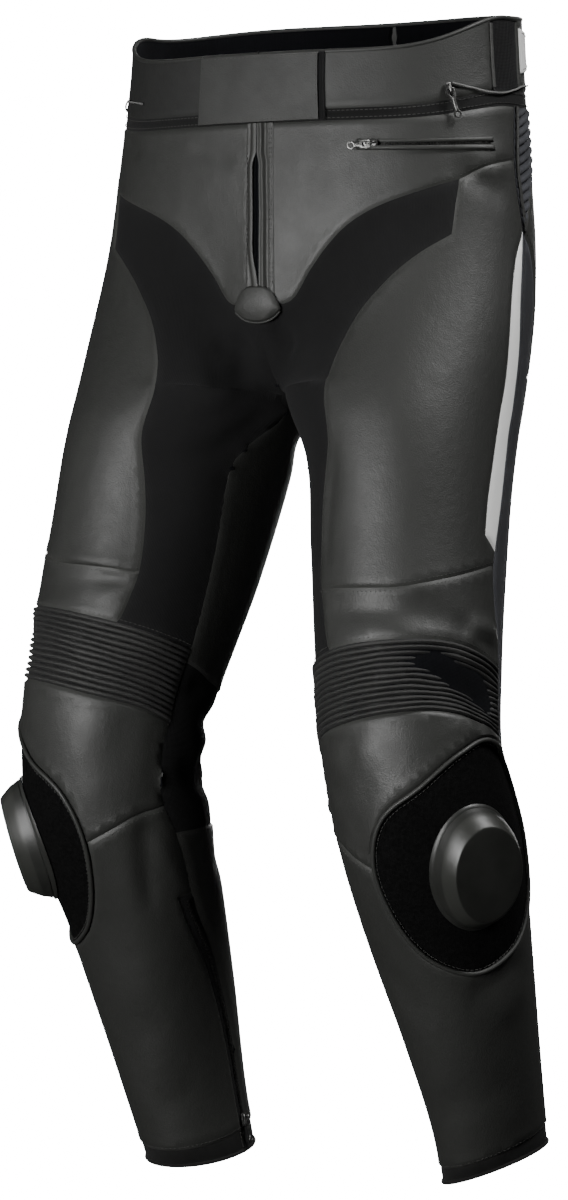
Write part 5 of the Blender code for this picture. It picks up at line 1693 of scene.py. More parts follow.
@dataclass
class RibbedPanels:
    """The ribbed stretch panels over the knees and at the sides of the hips.

    Each is a grid between two edges of the chart, with ribs as half-round waves: high in the middle of a
    rib and a sharp valley between two.
    """

    bench: Bench
    knee_ribs: int = 13
    hip_ribs: int = 12
    crest: float = 0.0026
    valley: float = 0.0022
    rows_per_rib: int = 9
    knee_columns: int = 96
    hip_columns: int = 26
    hip_foot_rows: int = 21
    seam_step: float = 0.002
    thickness: float = CLOTH
    hollow_depth: float = 0.0060
    hip_pitch: float = 0.0082
    hip_slant: float = 0.22
    hip_first: float = 0.056

    def wave(self, turns: Array) -> Array:
        """A half-round wave: the square root of 1 less the square of the distance from a rib's middle."""
        across = 2 * (turns - np.floor(turns)) - 1
        return -self.valley + (self.crest + self.valley) * np.sqrt(np.clip(1 - across ** 2, 0.0, 1))

    def panel(self, half: Half, node: str, grid: tuple[Array, Array], height: Array, slot: str, finish: str,
              painted_rib_light: Array) -> None:
        """One ribbed panel as a closed wall.

        Args:
            half: the half.
            node: the node's name without its side.
            grid: the grid's places round the garment, and its depths.
            height: the ribs' height at each point.
            slot: the piece's slot.
            finish: the finish.
            painted_rib_light: height on its rib, 0 to 1: painted shade in valleys, painted highlight on crests.
        """
        name = f"{node}_{half.word}"
        # The ribs' height is painted into the cloth's colour: painted shade in the valleys, painted highlight on the
        # crests.
        wall = self.bench.grid_wall(name + "_cloth", half, grid, height, -self.thickness, painted_rib_light ** 2)
        self.bench.finish(wall, PanelPlan(node, 0, 0, self.thickness, slot, held=Held.GATHERED), [name], finish)

    def painted_rib_light(self, height: Array) -> Array:
        """Height on the rib, 0 in the valley to 1 on the crest: painted shade to painted highlight."""
        return np.clip((height + self.valley) / (self.crest + self.valley), 0, 1)

    def hollow(self, half: Half, c: Array, v: Array) -> Array:
        """Share of the dent where the knee's outer side folds in: deep on the left, slight on the right.

        Args:
            half: the half.
            c: places round the leg.
            v: shares of the way down the ribs.

        Returns:
            A bell curve of the distance from a line that sinks outwards, fading in from the front.
        """
        middle = 0.40 + 1.7 * (c - 0.36) + 0.03 * np.sin(70 * c)
        strength = 1.0 if half is Half.LEFT else 0.15
        return strength * ease(0.22, 0.38, c) * (1 - ease(0.45, 0.478, c)) * bump(v - middle, 0.13)

    def knee(self, half: Half) -> None:
        """The knee's ribs, spread evenly between the panel's two seams, bunched where the knee bends.

        Args:
            half: the half.
        """
        rows = self.knee_ribs * self.rows_per_rib + 1
        top, low, side = (seam_points(name, self.seam_step) for name in ("knee_top", "knee_low", "side_thigh"))
        v = np.linspace(0, 1, rows)[:, None]
        u = np.linspace(0, 1, self.knee_columns)[None, :]
        left = seam_c(KNEE_TOP_IN) * (1 - v) + seam_c(KNEE_LOW_IN) * v
        right_depth = 0.531 * (1 - v) + KNEE_SIDE[1] * v
        right = np.interp(right_depth, side[:, 1], side[:, 0])
        c = left + (right - left) * u
        depth = np.interp(c, top[:, 0], top[:, 1]) * (1 - v) + np.interp(c, low[:, 0], low[:, 1]) * v
        wander = (0.16 * np.sin(9 * c + 2.1 * half.value) + 0.10 * np.sin(23 * c + 5 * v)
                  + 0.05 * np.sin(67 * c + 11 * v + half.value))
        swell = 1 + 0.30 * np.sin(31 * c + 9 * v + half.value) * np.sin(7 * v + 13 * c)
        fade = ease(0.0, 0.03, u) * (1 - ease(0.97, 1.0, u))
        turns = v * self.knee_ribs + wander * np.sin(np.pi * v)
        deep = self.hollow(half, c, v)
        wave = self.wave(turns) * (0.25 + 0.75 * fade) * np.clip(swell, 0.55, 1.35)
        # The knee's hollow is painted darker as well: painted shade in the dent.
        painted_rib_light = self.painted_rib_light(wave) * (1 - 0.93 * deep ** 0.7)
        height = wave * (1 - 0.8 * deep)
        height = height * ease(-0.004, 0.03, v) * (1 - ease(0.97, 1.004, v)) - 0.0008 - self.hollow_depth * deep
        self.panel(half, "knee_ribs", (c, depth), height, "stretch", "ribbed_stretch", painted_rib_light)

    def hip(self, half: Half) -> None:
        """The hip's ribs, slanting up to the back, down to the panel's tip.

        Args:
            half: the half.
        """
        front, back = (seam_points(name, self.seam_step) for name in ("side_top", "hip_back"))
        rows = self.hip_ribs * self.rows_per_rib + self.hip_foot_rows
        v = np.linspace(0, 1, rows)[:, None]
        u = np.linspace(0, 1, self.hip_columns)[None, :]
        depth = TAPE_LOW + (HIP_TIP[1] - 0.0006 - TAPE_LOW) * v
        ahead = np.interp(depth, front[:, 1], front[:, 0])
        behind = np.interp(depth, back[:, 1], back[:, 0])
        c = ahead + (behind - ahead) * u
        depth = np.broadcast_to(depth, c.shape)
        turns = (depth + self.hip_slant * (c - ahead) - self.hip_first) / self.hip_pitch
        fade = ease(0.0, 0.12, u) * (1 - ease(0.86, 1.0, u)) * (1 - ease(0.93, 0.99, v))
        height = self.wave(turns + 0.12 * np.sin(40 * c)) * fade - 0.0006
        # The hip ribs' height also paints shade into their valleys and highlight onto their crests.
        self.panel(half, "hip_ribs", (c, depth), height, "grey_stretch", "grey_stretch", self.painted_rib_light(height))

    def build(self) -> None:
        """Makes the ribbed panels of both halves."""
        for half in Half:
            self.knee(half)
            self.hip(half)


@dataclass
class Puck:
    """The knee slider: a domed plastic block that sits on the looped panel.

    The profile runs from the crown to the foot: the share of the outline's size, the height over the
    outline's middle down to the side, and the share of the way from the side's top to the foot.
    """

    bench: Bench
    crown: tuple[tuple[float, float], ...] = ((0.02, 0.0170), (0.25, 0.0169), (0.48, 0.0166), (0.66, 0.0162),
                                              (0.770, 0.0158), (0.800, 0.0156), (0.815, 0.0151), (0.830, 0.0142),
                                              (0.880, 0.0108), (0.935, 0.0068), (0.975, 0.0036), (0.990, 0.0014))
    flank: tuple[tuple[float, float], ...] = ((0.35, 1.0), (0.62, 1.0), (0.66, 0.975), (0.74, 0.975),
                                              (0.78, 1.015), (0.97, 1.02), (1.0, 1.01))
    around: int = 96
    seat: float = 0.0004
    narrowing: float = 0.06

    def foot(self, half: Half, share: float) -> Array:
        """A ring of points on the panel under the puck, a share of its oval."""
        angle = np.linspace(0, 2 * np.pi, self.around, endpoint=False)
        return self.bench.form.surface(half, *PUCK_OVAL.at(share, angle), self.seat)

    def rings(self, half: Half) -> tuple[list[Array], Array]:
        """The puck's rings from the crown to the foot.

        Args:
            half: the half.

        Returns:
            The rings, each a share of the oval: flat in the crown's frame, then carried over to the panel's
            curve; and the middle of the foot.
        """
        c, depth = (np.array([value]) for value in PUCK_OVAL.middle)
        form = self.bench.form
        middle = form.surface(half, c, depth)[0]
        out = form.outward(half, c, depth)[0]
        up = form.surface(half, c, depth - 0.01)[0] - middle
        up = unit(up - out * (up @ out))
        side = np.cross(out, up)
        rings = []
        for share, height in self.crown:
            offset = self.foot(half, share) - middle
            shrink = 1 - self.narrowing + self.narrowing * (1 - share)
            rings.append(middle + side * (offset @ side)[:, None] * shrink
                         + up * (offset @ up)[:, None] * shrink + out * height)
        top = rings[-1]
        rings += [top * (1 - down) + self.foot(half, share) * down for down, share in self.flank]
        return rings + [self.foot(half, 0.6)], middle[None, :] + out * self.seat

    def build(self) -> None:
        """Makes the puck of each knee, closed by a face on the crown and a fan under the foot."""
        for half in Half:
            rings, centre = self.rings(half)
            last = (len(rings) - 1) * self.around + np.arange(self.around)
            fan = np.stack([last, np.roll(last, -1), np.full_like(last, len(rings) * self.around)], axis=1)
            faces = MeshMaker.grid(len(rings), self.around, around=True).tolist()
            faces += [list(range(self.around))] + fan.tolist()
            # The bevel ring round the crown is painted lighter all round: a painted highlight.
            edge = np.concatenate([np.full(self.around, float(0.81 < share < 0.98)) for share, _ in self.crown]
                                  + [np.zeros(self.around * (len(self.flank) + 1)), [0.0]])
            name = f"slider_puck_{half.word}"
            piece = MeshMaker.make(name + "_block", np.concatenate(rings + [centre]), faces,
                                   [self.bench.wardrobe.of("puck_plastic")], edge=edge, sharp=38.0)
            outwards(piece)
            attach(piece, ROOT_BODY)
            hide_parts(name)


@dataclass
class Trim:
    """Pieces that lie on the panels: belt tab, fly facings and tab, side tabs, pocket welt, flap and piping."""

    bench: Bench
    edge_round: float = 0.0013
    # Width of the lighter band at a laid piece's edges: wear and painted highlight.
    tab_wear_and_highlight: float = 0.0014
    belt_tab_sides: Place = (-0.135, 0.135)
    belt_tab_thick: float = 0.0026
    end_strip_sides: Place = (0.1352, 0.147)
    end_strip_thick: float = 0.0030
    facing_sides: Place = (-0.0178, 0.0300)
    facing_ridges: Place = (0.0020, 0.0030)
    fly_tab_half: float = 0.0425
    fly_tab_thick: float = 0.0024
    side_tab_corners: tuple[Place, ...] = ((0.526, -0.019), (0.602, -0.015), (0.602, 0.016), (0.526, 0.021))
    pocket_corners: tuple[Place, ...] = ((0.211, 0.0745), (0.440, 0.0785), (0.440, 0.0885), (0.211, 0.0845))
    lip_sides: Place = (0.206, 0.445)
    lip_fall: float = 0.004
    lip_depths: tuple[tuple[str, float, float], ...] = (("upper", 0.0735, 0.0783), ("lower", 0.0806, 0.0862))
    flap_edge: tuple[Place, ...] = ((0.375, 0.020), (0.407, 0.029), (0.442, 0.037), (0.479, 0.039), (0.524, 0.032),
                                    (0.578, 0.030))
    flap_ahead: tuple[Place, ...] = ((0.298, 0.0185), (0.325, 0.0180), (0.352, 0.0190), (0.372, 0.0197))
    piping_sides: int = 8
    piping_step: float = 0.003

    def slab(self, name: str, half: Half, grid: tuple[Array, Array], thickness: float, slot: str,
             nodes: list[str], lift: float = 0.0, round_over: float | None = None, crown: float = 0.0) -> None:
        """A laid piece with rounded edges: its height is a quarter circle of the distance to the nearest edge.

        Args:
            name: the piece's name.
            half: the half that c is counted on; a c below 0 is on the other one.
            grid: the grid's places round the garment, and its depths.
            thickness: how thick the piece is.
            slot: its finish.
            nodes: the CAD nodes that it stands for.
            lift: height of its underside over the form.
            round_over: radius of its edges.
            crown: how much its middle stands up more.
        """
        c, depth = grid
        round_over = round_over or self.edge_round
        share = CHART_WIDTH * Chart.girth_share(depth)
        steps_u = np.hypot(np.diff(c, axis=1) * share[:, 1:], np.diff(depth, axis=1))
        steps_v = np.hypot(np.diff(c, axis=0) * share[1:], np.diff(depth, axis=0))
        along_u = np.concatenate([np.zeros((len(c), 1)), np.cumsum(steps_u, axis=1)], axis=1)
        along_v = np.concatenate([np.zeros((1, c.shape[1])), np.cumsum(steps_v, axis=0)], axis=0)
        away = np.minimum(np.minimum(along_u, along_u[:, -1:] - along_u),
                          np.minimum(along_v, along_v[-1:] - along_v))
        bevel = np.sqrt(np.clip(1 - (1 - np.clip(away / round_over, 0, 1)) ** 2, 0, 1))
        wide = max(float(away.max()), 1e-6)
        height = lift + 0.25 * thickness + 0.75 * thickness * bevel + crown * np.sin(0.5 * np.pi * away / wide)
        # The rounded edges are painted lighter: wear and painted highlight.
        wall = self.bench.grid_wall(name, half, grid, height, lift, 0.7 * bump(away, self.tab_wear_and_highlight))
        self.bench.finish(wall, PanelPlan(name, 0, 0, thickness, slot, held=Held.LAID), nodes)

    @staticmethod
    def spread(low: float, high: float, count: int) -> Array:
        """Values from low to high, closer together near both ends: a share of a cosine over an even row."""
        even = np.linspace(0, 1, count)
        return low + (high - low) * (0.35 * (0.5 - 0.5 * np.cos(np.pi * even)) + 0.65 * even)

    def block(self, sides: Place, ends: Place, columns: int, rows: int) -> tuple[Array, Array]:
        """A grid of places over an upright rectangle of the chart, from its c and its depths."""
        return np.meshgrid(self.spread(*sides, columns), self.spread(*ends, rows))

    @staticmethod
    def between(corners: tuple[Place, ...], columns: int, rows: int) -> tuple[Array, Array]:
        """A grid of places between four corners.

        Args:
            corners: top left, top right, low right, low left.
            columns: how many points a row has.
            rows: how many rows there are.

        Returns:
            c and depth of each point.
        """
        a, b, c, d = (np.array(corner) for corner in corners)
        u = np.linspace(0, 1, columns)[None, :, None]
        v = np.linspace(0, 1, rows)[:, None, None]
        places = (a * (1 - u) + b * u) * (1 - v) + (d * (1 - u) + c * u) * v
        return places[..., 0], places[..., 1]

    def belt_tab(self) -> None:
        """The wide leather tab over the waistband's front, and its dark end strip."""
        ends = (RIM + 0.0004, TAPE_LOW - 0.0006)
        self.slab("belt_tab_leather", Half.LEFT, self.block(self.belt_tab_sides, ends, 96, 46), self.belt_tab_thick,
                  "belt_leather", ["belt_tab"], 0.0004)
        self.slab("belt_tab_end_strip", Half.LEFT, self.block(self.end_strip_sides, ends, 8, 46),
                  self.end_strip_thick, "elastic", ["belt_tab_end"], 0.0004)

    def slit(self, v: Array) -> tuple[Array, Array]:
        """The fly's opening: shut at the top, a point at the foot.

        Args:
            v: shares of the way down.

        Returns:
            c of its right and left edge.
        """
        middle = 0.0006 + 0.0032 * ease(0.70, 1.0, v) + 0.0004 * np.sin(14 * v)
        half_width = 0.0002 + 0.0038 * ease(0.20, 0.30, v) * (1 - ease(0.72, 1.0, v))
        return middle - half_width, middle + half_width

    def facing(self, name: str, edge: Array, far: float, ridge: float, node: str) -> None:
        """One of the two strips beside the fly's opening, with its turned lip along the opening.

        Args:
            name: the piece's name.
            edge: the opening's edge down the strip.
            far: the strip's other edge.
            ridge: distance of the lip's crest from the opening.
            node: the CAD node that it stands for.
        """
        u = np.linspace(0, 1, 19)[None, :] ** 1.4
        if far < 0:
            u = u[:, ::-1]
        c = edge[:, None] * (1 - u) + far * u
        v = np.linspace(0, 1, len(edge))[:, None]
        depth = TAPE_LOW + (FLY_FOOT + 0.010 - TAPE_LOW) * v * np.ones_like(u)
        away = np.abs(c - edge[:, None]) * CHART_WIDTH
        far_away = np.abs(c - far) * CHART_WIDTH
        lip = 0.0021 * bump(away - ridge, 0.0013) + 0.0012 * bump(away, 0.0009)
        dips = 0.0006 * bump(away - ridge - 0.0034, 0.0012) + 0.0004 * (1 - ease(0, 0.0011, far_away))
        # The lip's crest is painted lighter: wear and painted highlight.
        wear_and_highlight = 0.8 * bump(away - ridge, 0.0012)
        wall = self.bench.grid_wall(name, Half.LEFT, (c, depth), 0.0009 + lip - dips, 0.0002, wear_and_highlight)
        self.bench.finish(wall, PanelPlan(name, 0, 0, 0.0016, "leather", held=Held.LAID), [node])

    def fly(self) -> None:
        """The two facings beside the fly's opening, and the half-moon tab at its foot."""
        edges = self.slit(np.linspace(0, 1, 90))
        for side, edge, far, ridge in zip(("right", "left"), edges, self.facing_sides, self.facing_ridges):
            self.facing(f"fly_facing_{side}_leather", edge, far, ridge, f"fly_facing_{side}")
        c = self.fly_tab_half * np.sin(np.linspace(-0.5, 0.5, 45) * np.pi)[None, :]
        share = np.abs(c) / self.fly_tab_half
        v = np.linspace(0, 1, 30)[:, None]
        depth = (0.2050 + 0.0200 * share ** 2.6) * (1 - v) + (0.2355 - 0.0095 * share ** 2.2) * v
        self.slab("fly_tab_leather", Half.LEFT, (c * np.ones_like(v), depth), self.fly_tab_thick, "leather",
                  ["fly_tab"], 0.0012, 0.0018, 0.0022)
        along = np.sin(0.5 * np.pi * np.linspace(-1, 1, 60))
        rim = np.stack([0.041 * along, 0.2362 - 0.0090 * np.abs(along) ** 2.2], 1)
        self.cords("fly_tab_binding", [(Half.LEFT, rim)], 0.0011, 0.0022, "belt_leather")

    def side_tabs(self) -> None:
        """The pale adjusting tabs behind the hips' elastic."""
        for half in Half:
            name = f"side_tab_{half.word}"
            grid = self.between(self.side_tab_corners, 28, 26)
            self.slab(name + "_cloth", half, grid, CLOTH, "grey_cloth", [name], 0.0004, 0.0010)

    def pocket(self) -> None:
        """The slanting pocket zip: its tape in a narrow window between two turned leather lips."""
        grid = self.between(self.pocket_corners, 60, 9)
        self.slab("pocket_zip_tape", Half.LEFT, grid, 0.0008, "tape", ["pocket_zip"], -0.0004, 0.0004)
        ahead, behind = self.lip_sides
        for name, top, low in self.lip_depths:
            corners = ((ahead, top), (behind, top + self.lip_fall), (behind, low + self.lip_fall), (ahead, low))
            self.slab(f"pocket_lip_{name}", Half.LEFT, self.between(corners, 60, 8), CLOTH, "leather", [], 0.0,
                      0.0014, 0.0006)

    def cords(self, name: str, lines: list[tuple[Half, Array]], radius: float, height: float, slot: str,
              closed: bool = False, finish: str = "") -> None:
        """Piping: a filled cord under cloth along one or more lines of the chart, as one piece.

        Args:
            name: the piece's name.
            lines: the half and the places of each line.
            radius: half the cord's thickness.
            height: height of its middle over the form.
            slot: its slot, which gives its finish unless another one is asked for.
            closed: whether each line ends where it starts.
            finish: its finish, or nothing for the slot's own.
        """
        form = self.bench.form
        parts = []
        for half, places in lines:
            c, depth = (places[:-1] if closed else places).T
            path, up = form.surface(half, c, depth, height), form.outward(half, np.abs(c), depth)
            parts.append(tube(path, up, radius, self.piping_sides, closed))
        points, faces = gathered(parts)
        # Every cord is painted a little lighter all along: a painted highlight.
        piece = outwards(MeshMaker.make(name, points, faces, [self.bench.wardrobe.of(finish or slot)],
                                        uv=points[:, :2], edge=np.full(len(points), 0.45)))
        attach(piece, ROOT_BODY)

    def piping(self) -> None:
        """Piping round the knees' drops, along the hips' ribs and on the waistband's flaps, and the bound edges."""
        drop = KNEE_DROP.ring(0.985, 168)
        self.cords("knee_drop_piping", [(half, drop) for half in Half], 0.0021, 0.0008, "leather", closed=True)
        side = seam_points("side_top", self.piping_step) + (0.004, 0)
        self.cords("hip_rib_piping", [(half, side) for half in Half], 0.0017, 0.0008, "belt_leather")
        flap = Line("flap", list(self.flap_edge)).sampled(self.piping_step)
        longer = np.concatenate([np.array(self.flap_ahead), flap])
        self.cords("flap_piping", [(Half.LEFT, flap), (Half.RIGHT, longer)], 0.0009, 0.0016, "grey_cloth",
                   finish="piping_grey")
        # A cord along the band's end fold, painted lighter as every cord is: a painted highlight.
        bar = np.linspace(RIM + 0.004, 0.0335, 26)
        fold = np.stack([0.4535 + 0.0015 * np.sin(9 * bar), bar], axis=1)
        self.cords("band_end_binding", [(half, fold) for half in Half], 0.0016, 0.0010, "belt_leather")
        rim = np.linspace(0, 1, 260)
        ring = np.stack([rim, np.full_like(rim, RIM + 0.0008)], axis=1)
        self.cords("waist_binding", [(half, ring) for half in Half], 0.0021, -0.0013, "belt_leather")
        hem = seam_c(HEM) + np.linspace(0, 1, 180)
        cuff = np.stack([hem, np.full_like(hem, HEM - 0.0012)], axis=1)
        self.cords("cuff_bindings", [(half, cuff) for half in Half], 0.0019, -0.0009, "cuff_cloth", closed=True)

    def build(self) -> None:
        """Makes all the trim."""
        self.belt_tab()
        self.fly()
        self.side_tabs()
        self.pocket()
        self.piping()


class Casting:
    """A small metal part put together from bevelled plates and bent bars in its own frame."""

    def __init__(self) -> None:
        """Starts with nothing."""
        self.mesh = bmesh.new()

    def plate(self, outline: list[Place], holes: list[list[Place]], low: float, high: float,
              bevel: float) -> None:
        """Adds a flat plate with holes and rounded edges.

        Args:
            outline: the plate's outline across and along.
            holes: the outlines of its holes.
            low: height of its underside.
            high: height of its top.
            bevel: size of the rounding.
        """
        bm = bmesh.new()
        edges = []
        for loop in [outline] + holes:
            ring = [bm.verts.new((x, y, low)) for x, y in loop]
            edges += [bm.edges.new(pair) for pair in zip(ring, ring[1:] + ring[:1])]
        bmesh.ops.triangle_fill(bm, edges=edges, use_beauty=True)
        grown = bmesh.ops.extrude_face_region(bm, geom=list(bm.faces))
        top = [item for item in grown["geom"] if isinstance(item, bmesh.types.BMVert)]
        bmesh.ops.translate(bm, vec=(0, 0, high - low), verts=top)
        bmesh.ops.recalc_face_normals(bm, faces=bm.faces)
        rims = [edge for edge in bm.edges if len(edge.link_faces) == 2
                and abs(edge.link_faces[0].normal.z - edge.link_faces[1].normal.z) > 0.5]
        bmesh.ops.bevel(bm, geom=rims, offset=bevel, segments=2, profile=0.5, affect="EDGES")
        self.keep(bm)

    def bar(self, path: Array, up: tuple[float, float, float], radius: float, flat: float) -> None:
        """Adds a bent bar along a path.

        Args:
            path: the bar's middle line.
            up: the direction of its height.
            radius: half its width.
            flat: its height over its width.
        """
        ups = np.broadcast_to(np.array(up, float), path.shape)
        points, faces = tube(path, ups, radius, 10, flat=flat)
        bm = bmesh.new()
        made = [bm.verts.new(point) for point in points.tolist()]
        for face in faces:
            bm.faces.new([made[number] for number in face])
        bmesh.ops.recalc_face_normals(bm, faces=bm.faces)
        self.keep(bm)

    def keep(self, bm: bmesh.types.BMesh) -> None:
        """Adds a finished body to the part.

        Args:
            bm: the body, which is let go.
        """
        mesh = bpy.data.meshes.new("body")
        bm.to_mesh(mesh)
        bm.free()
        self.mesh.from_mesh(mesh)
        bpy.data.meshes.remove(mesh)

    def set_down(self, name: str, origin: Array, axes: Array, finish: Material) -> Piece:
        """Makes the object, its points carried from the part's frame to their place.

        Args:
            name: the piece's name.
            origin: the frame's origin.
            axes: the frame's three directions, one a row.
            finish: the material.

        Returns:
            The object.
        """
        mesh = bpy.data.meshes.new(name)
        self.mesh.to_mesh(mesh)
        self.mesh.free()
        points = np.empty(3 * len(mesh.vertices))
        mesh.vertices.foreach_get("co", points)
        mesh.vertices.foreach_set("co", (origin + points.reshape(-1, 3) @ axes).ravel())
        mesh.shade_smooth()
        mesh.set_sharp_from_angle(angle=math.radians(42))
        mesh.materials.append(finish)
        mesh.update()
        piece = bpy.data.objects.new(name, mesh)
        bpy.context.scene.collection.objects.link(piece)
        return piece


@dataclass(frozen=True)
class ZipPlace:
    """Where a zip's slider sits: its nodes' stem, its half and place, its pull's length, hinge and body."""

    stem: str
    half: Half
    c: float
    depth: float
    pull_length: float
    joint: str
    body: str


ZIP_PLACES = (
    ZipPlace("waist_zip", Half.LEFT, 0.368, 0.026, 0.026, "waist_pull_hinge", "waist_pull_tab"),
    ZipPlace("pocket_zip", Half.LEFT, 0.232, 0.0800, 0.020, "pocket_pull_hinge", "pocket_pull_tab"),
    ZipPlace("calf_zip_left", Half.LEFT, -0.061, 0.940, 0.022, "calf_left_pull_hinge", "calf_pull_tab_left"),
    ZipPlace("calf_zip_right", Half.RIGHT, -0.061, 0.940, 0.022, "calf_right_pull_hinge", "calf_pull_tab_right"),
)


@dataclass
class ZipHardware:
    """The sliders, which stay with the trousers, and the pull tabs, which turn on them.

    Sizes are in the slider's frame: x along the hinge, y along the zip towards the pull, z outwards, with the
    hinge's middle as the origin.
    """

    bench: Bench
    joints: dict[str, dict]
    over_body: float = 0.0012
    body_height: float = 0.0034
    plate: float = 0.0012
    arch_half: float = 0.0038
    arch_top: float = 0.0019
    arch_thick: float = 0.0006
    shield: tuple[Place, ...] = ((0.0016, -0.0059), (0.0023, -0.0054), (0.0026, -0.0035), (0.0029, -0.0005),
                                 (0.0033, 0.0025), (0.0034, 0.0042), (0.0028, 0.0054), (0.0015, 0.0059))
    pull_half: float = 0.0036
    pull_thick: float = 0.0010
    neck_start: float = 0.0082
    neck_thick: float = 0.0007
    eye: tuple[float, float] = (0.0018, 0.0065)
    ring_hole: float = 0.0020

    def axes(self, zip_place: ZipPlace) -> tuple[Array, Array]:
        """The slider's frame.

        Args:
            zip_place: where the slider sits.

        Returns:
            The joint's place, and three directions, one a row: the joint's axis, along the zip, and the form's
            outward direction made square to the axis.
        """
        joint = self.joints[zip_place.joint]
        across = unit(np.array(joint["axis"], float))
        here = np.array([zip_place.c]), np.array([zip_place.depth])
        out = self.bench.form.outward(zip_place.half, *here)[0]
        out = unit(out - across * (out @ across))
        return np.array(joint["pos_m"], float), np.array([across, np.cross(out, across), out])

    def slider(self, zip_place: ZipPlace) -> None:
        """A slider: a shield above, a plate below, the core between them and the arch that holds the pull.

        Args:
            zip_place: where it sits.
        """
        casting = Casting()
        shield = list(self.shield) + [(-x, y) for x, y in reversed(self.shield)]
        top = -self.over_body
        foot = top - self.body_height
        casting.plate(shield, [], top - self.plate, top, 0.0003)
        casting.plate([(x * 1.12, y) for x, y in shield], [], foot, foot + self.plate, 0.0003)
        core = [(x * 0.62, y * 0.9) for x, y in shield]
        casting.plate(core, [], foot + 0.6 * self.plate, top - 0.6 * self.plate, 0.0002)
        turn = np.linspace(0, np.pi, 17)
        arch = np.stack([np.zeros(17), -self.arch_half * np.sign(np.cos(turn)) * np.abs(np.cos(turn)) ** 0.45,
                         top - 0.0008 + (self.arch_top - top + 0.0008) * np.sin(turn) ** 0.55], axis=1)
        casting.bar(arch, (1.0, 0.0, 0.0), self.arch_thick, 1.45)
        piece = casting.set_down(f"{zip_place.stem}_slider_body", *self.axes(zip_place),
                                 self.bench.wardrobe.of("zip_metal"))
        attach(piece, ROOT_BODY)
        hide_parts(f"{zip_place.stem}_slider")

    def outline(self, length: float) -> list[Place]:
        """The pull's outline: an eye round the arch, a waist, and a round end.

        Args:
            length: the pull's length from its hinge.

        Returns:
            Its corners, across and along.
        """
        half = self.pull_half
        end = length - half
        right = [(half - 0.0006, -0.0005), (half - 0.0001, -0.0002), (half, 0.0004), (half, 0.0066),
                 (half - 0.0003, 0.0075), (half * 0.72, 0.0084), (half * 0.56, 0.0096), (half * 0.52, 0.0110)]
        right += [(half * 0.52, end - half * 1.05)] if end - half * 1.05 > 0.0112 else []
        angles = np.radians(np.arange(-56, 91, 14.6))
        right += [(half * math.cos(angle), end + half * math.sin(angle)) for angle in angles]
        return right + [(-x, y) for x, y in reversed(right) if x > 1e-5]

    def pull(self, zip_place: ZipPlace) -> None:
        """A pull tab: one cast plate with a long eye, a waisted neck with a raised rib, and a ring.

        Args:
            zip_place: where its slider sits.
        """
        casting = Casting()
        end = zip_place.pull_length - self.pull_half
        wide, far = self.eye
        eye = [(-wide + 0.0004, 0.0005), (wide - 0.0004, 0.0005), (wide, 0.0009), (wide, far - 0.0009),
               (wide * 0.6, far), (-wide * 0.6, far), (-wide, far - 0.0009), (-wide, 0.0009)]
        angles = np.linspace(0, 2 * np.pi, 16, endpoint=False)
        hole = [(self.ring_hole * math.cos(angle), end + self.ring_hole * math.sin(angle)) for angle in angles]
        half = self.pull_thick / 2
        casting.plate(self.outline(zip_place.pull_length), [eye, hole], -half, half, 0.00022)
        along = np.linspace(self.neck_start, end - self.ring_hole - self.neck_thick, 9)
        neck = np.stack([np.zeros(9), along, np.full(9, half * 0.6)], axis=1)
        casting.bar(neck, (0.0, 0.0, 1.0), self.neck_thick, 0.7)
        piece = casting.set_down(f"{zip_place.stem}_pull_tab", *self.axes(zip_place),
                                 self.bench.wardrobe.of("zip_metal"))
        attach(piece, zip_place.body)
        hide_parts(f"{zip_place.stem}_pull")

    def build(self) -> None:
        """Makes every slider and pull."""
        for zip_place in ZIP_PLACES:
            self.slider(zip_place)
            self.pull(zip_place)


